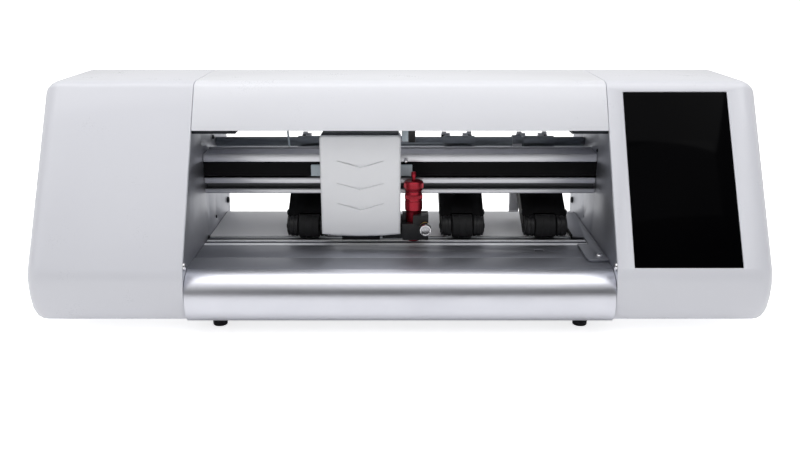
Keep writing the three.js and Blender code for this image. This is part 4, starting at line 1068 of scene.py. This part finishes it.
trackLook = {"wall": 0.35, "bottom": 3.5, "top": 7.7, "front": 0.2, "back": 4.6, "side": 0.3}


def wheelTrack():
    low, high = (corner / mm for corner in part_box("gantry_beam"))
    bottom, top = low.z + trackLook["bottom"], low.z + trackLook["top"]
    front, back = low.y + trackLook["front"], low.y + trackLook["back"]
    wall, side = trackLook["wall"], trackLook["side"]
    outline = [(back + wall, bottom), (back + wall, top), (front, top), (front, top - wall),
               (back, top - wall), (back, bottom + wall), (front, bottom + wall), (front, bottom)]
    track = extruded("wheel_track", outline, "x", low.x + side, high.x - side)
    settled(track, "frame", "trackGrey")


wheelTrack()
print("wheel track")

# what stands on and beside the carriage: a dark plate on the top as painted shade from the top housing, plug,
# switch and its stay

carriageTop = {"lid": 0.7, "inset": 1.6, "rear": 0.2, "sink": 0.05, "bottom": 126.2, "top": 134.6,
               "plug": (1.4, 6.2), "plugDepth": (-16.5, -9.5), "round": 1.6,
               "block": (6.2, 11.4), "blockDepth": (-16.5, -9.0), "drop": 0.6, "recess": (0.8, 0.5),
               "stay": (-6, 10.6), "stayDepth": (-9.2, -8.4), "stayHeight": (-1.4, 3)}


def carriageFittings():
    low, high = (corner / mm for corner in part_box("carriage_cover"))
    inset = carriageTop["inset"]
    # dark plate on the cover's top: painted shade cast by the top housing above
    lid = brick("hood_lid", (low.x + inset, low.y + inset, high.z - carriageTop["sink"]),
                (high.x - inset, high.y - carriageTop["rear"], high.z + carriageTop["lid"]))
    trimmed(lid, 0.3, "carriage", "darkMetal")
    bottom, top = carriageTop["bottom"], carriageTop["top"]
    left, right = carriageTop["plug"]
    near, far = carriageTop["plugDepth"]
    plug = brick("signal_plug", (left, near, bottom), (right, far, top))
    openMesh(plug)
    pickEdges(plug, lambda a, b: a.z < bottom + 0.1 and b.z < bottom + 0.1 and abs(a.x - b.x) < 0.1)
    bpy.ops.mesh.bevel(offset=carriageTop["round"] * mm, segments=5, affect="EDGES")
    closeMesh()
    trimmed(plug, 0.35, "carriage", "palePlastic")
    left, right = carriageTop["block"]
    near, far = carriageTop["blockDepth"]
    block = brick("end_stop_switch", (left, near, bottom - carriageTop["drop"]), (right, far, top))
    openMesh(block)
    pickFaces(block, lambda c, n: n.y < -0.9)
    rim, deep = carriageTop["recess"]
    bpy.ops.mesh.inset(thickness=rim * mm, depth=-deep * mm)
    closeMesh()
    trimmed(block, 0.3, "carriage", "blackPlastic")
    left, right = carriageTop["stay"]
    near, far = carriageTop["stayDepth"]
    down, up = carriageTop["stayHeight"]
    stay = brick("switch_stay", (left, near, bottom + down), (right, far, bottom + up))
    trimmed(stay, 0.2, "carriage", "steelSheet")


carriageFittings()
print("carriage fittings")

# pins and collars of the press units

pressPins = {"roller": (-1.4, 57), "keeper": (4.2, 66.5), "half": 17, "sink": 0.05}


def pressUnitPins():
    profile = [(2.3, 0), (2.3, 0.35), (1.9, 0.75), (1.1, 0.9)]
    for unit, middle in enumerate(pressMiddles, 1):
        heads = []
        for label in ("roller", "keeper"):
            y, z = pressPins[label]
            for side, axis in ((-1, "left"), (1, "x")):
                place = (middle + side * (pressPins["half"] - pressPins["sink"]), y, z)
                heads.append(turned(f"pin_{label}_{side}", profile, place, axis=axis, sides=24))
        pins = joined(*heads)
        pins.name = f"press_pins_{unit}"
        smoothed(pins, 40)
        settled(pins, f"pinch_arm_{unit}", "darkMetal")


pressUnitPins()

collarLook = {"inner": 8.5, "outer": 16.4, "axle": (-1.4, 57)}


def rollerCollars():
    inner, outer = collarLook["inner"], collarLook["outer"]
    long = outer - inner
    profile = [(2.6, 0), (7.4, 0), (7.9, 0.5), (7.9, 2.2), (7.5, 2.5), (7.5, 3.3), (7.9, 3.6),
               (7.9, 5.6), (7.2, 5.9), (7.2, 6.6), (7.5, 6.9), (7.5, long - 0.4), (7.1, long),
               (2.6, long)]
    y, z = collarLook["axle"]
    for unit, middle in enumerate(pressMiddles, 1):
        right = turned("collar", profile, (middle + inner, y, z), axis="x", sides=40)
        left = turned("collar", profile, (middle - inner, y, z), axis="left", sides=40)
        pair = joined(right, left)
        pair.name = f"roller_collars_{unit}"
        smoothed(pair, 35)
        settled(pair, f"pinch_arm_{unit}", "blackPlastic")


rollerCollars()

hookLook = {"steps": ((-12.6, -8.6, 115.6), (-8.6, -5.4, 114.4), (5.4, 9.0, 114.4), (9.0, 12.8, 115.8)),
            "depth": (84.9, 88.9), "bottom": 111.5}


def hookTips():
    front, back = hookLook["depth"]
    for unit, middle in enumerate(pressMiddles, 1):
        steps = []
        for left, right, top in hookLook["steps"]:
            step = brick("hook_step", (middle + left, front, hookLook["bottom"]), (middle + right, back, top))
            softened(step, 0.3, 2)
            steps.append(step)
        tips = joined(*steps)
        tips.name = f"hook_tips_{unit}"
        smoothed(tips)
        # pale grey tips, painted lighter as painted light from behind
        settled(tips, f"pinch_arm_{unit}", "hookGrey")


hookTips()
print("press pins and hook tips")

# dark strip along the edge guide: partly a dark seal, partly painted shadow in the gap there
sealAndShadowLook = {"beside": (0.9, 0.1), "span": (-5, 44), "sink": 0.2, "rise": 1.2}


def guideSealAndShadow():
    low, high = (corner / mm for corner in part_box("edge_guide"))
    outer, inner = sealAndShadowLook["beside"]
    front, back = sealAndShadowLook["span"]
    sealAndShadow = brick("guide_seal_and_shadow", (low.x - outer, front, low.z - sealAndShadowLook["sink"]),
                 (low.x - inner, back, high.z + sealAndShadowLook["rise"]))
    trimmed(sealAndShadow, 0.25, "frame", "deepBlack")


guideSealAndShadow()

# sockets at the rear: three inlet blades and the metal shell of the data port

rearLook = {"inlet": (182, 42), "blade": (1.6, 6.2), "bladeDepth": (77, 89),
            "blades": ((-7, -1.5), (0, 2.2), (7, -1.5)), "port": (234, 42), "shell": (4.3, 3.8),
            "shellDepth": (80.5, 91.6), "rim": 0.45, "hollow": 10, "tongue": (2.8, 1.3),
            "tongueDepth": (81, 90.4)}


def rearSockets():
    x, z = rearLook["inlet"]
    thick, tall = rearLook["blade"]
    near, far = rearLook["bladeDepth"]
    blades = []
    for shift, rise in rearLook["blades"]:
        blade = brick("blade", (x + shift - thick / 2, near, z + rise - tall / 2),
                      (x + shift + thick / 2, far, z + rise + tall / 2))
        softened(blade, 0.5, 2)
        blades.append(blade)
    pins = joined(*blades)
    pins.name = "inlet_blades"
    smoothed(pins)
    settled(pins, "frame", "machinedSteel")
    x, z = rearLook["port"]
    wide, high = rearLook["shell"]
    near, far = rearLook["shellDepth"]
    shell = brick("port_shell", (x - wide, near, z - high), (x + wide, far, z + high))
    openMesh(shell)
    pickFaces(shell, lambda c, n: n.y > 0.9)
    bpy.ops.mesh.inset(thickness=rearLook["rim"] * mm)
    bpy.ops.mesh.extrude_region_move(TRANSFORM_OT_translate={"value": (0, -rearLook["hollow"] * mm, 0)})
    closeMesh()
    smoothed(shell)
    settled(shell, "frame", "machinedSteel")
    wide, high = rearLook["tongue"]
    near, far = rearLook["tongueDepth"]
    tongue = brick("port_tongue", (x - wide, near, z - high), (x + wide, far, z + high))
    trimmed(tongue, 0.25, "frame", "palePlastic")


rearSockets()
print("rear sockets")
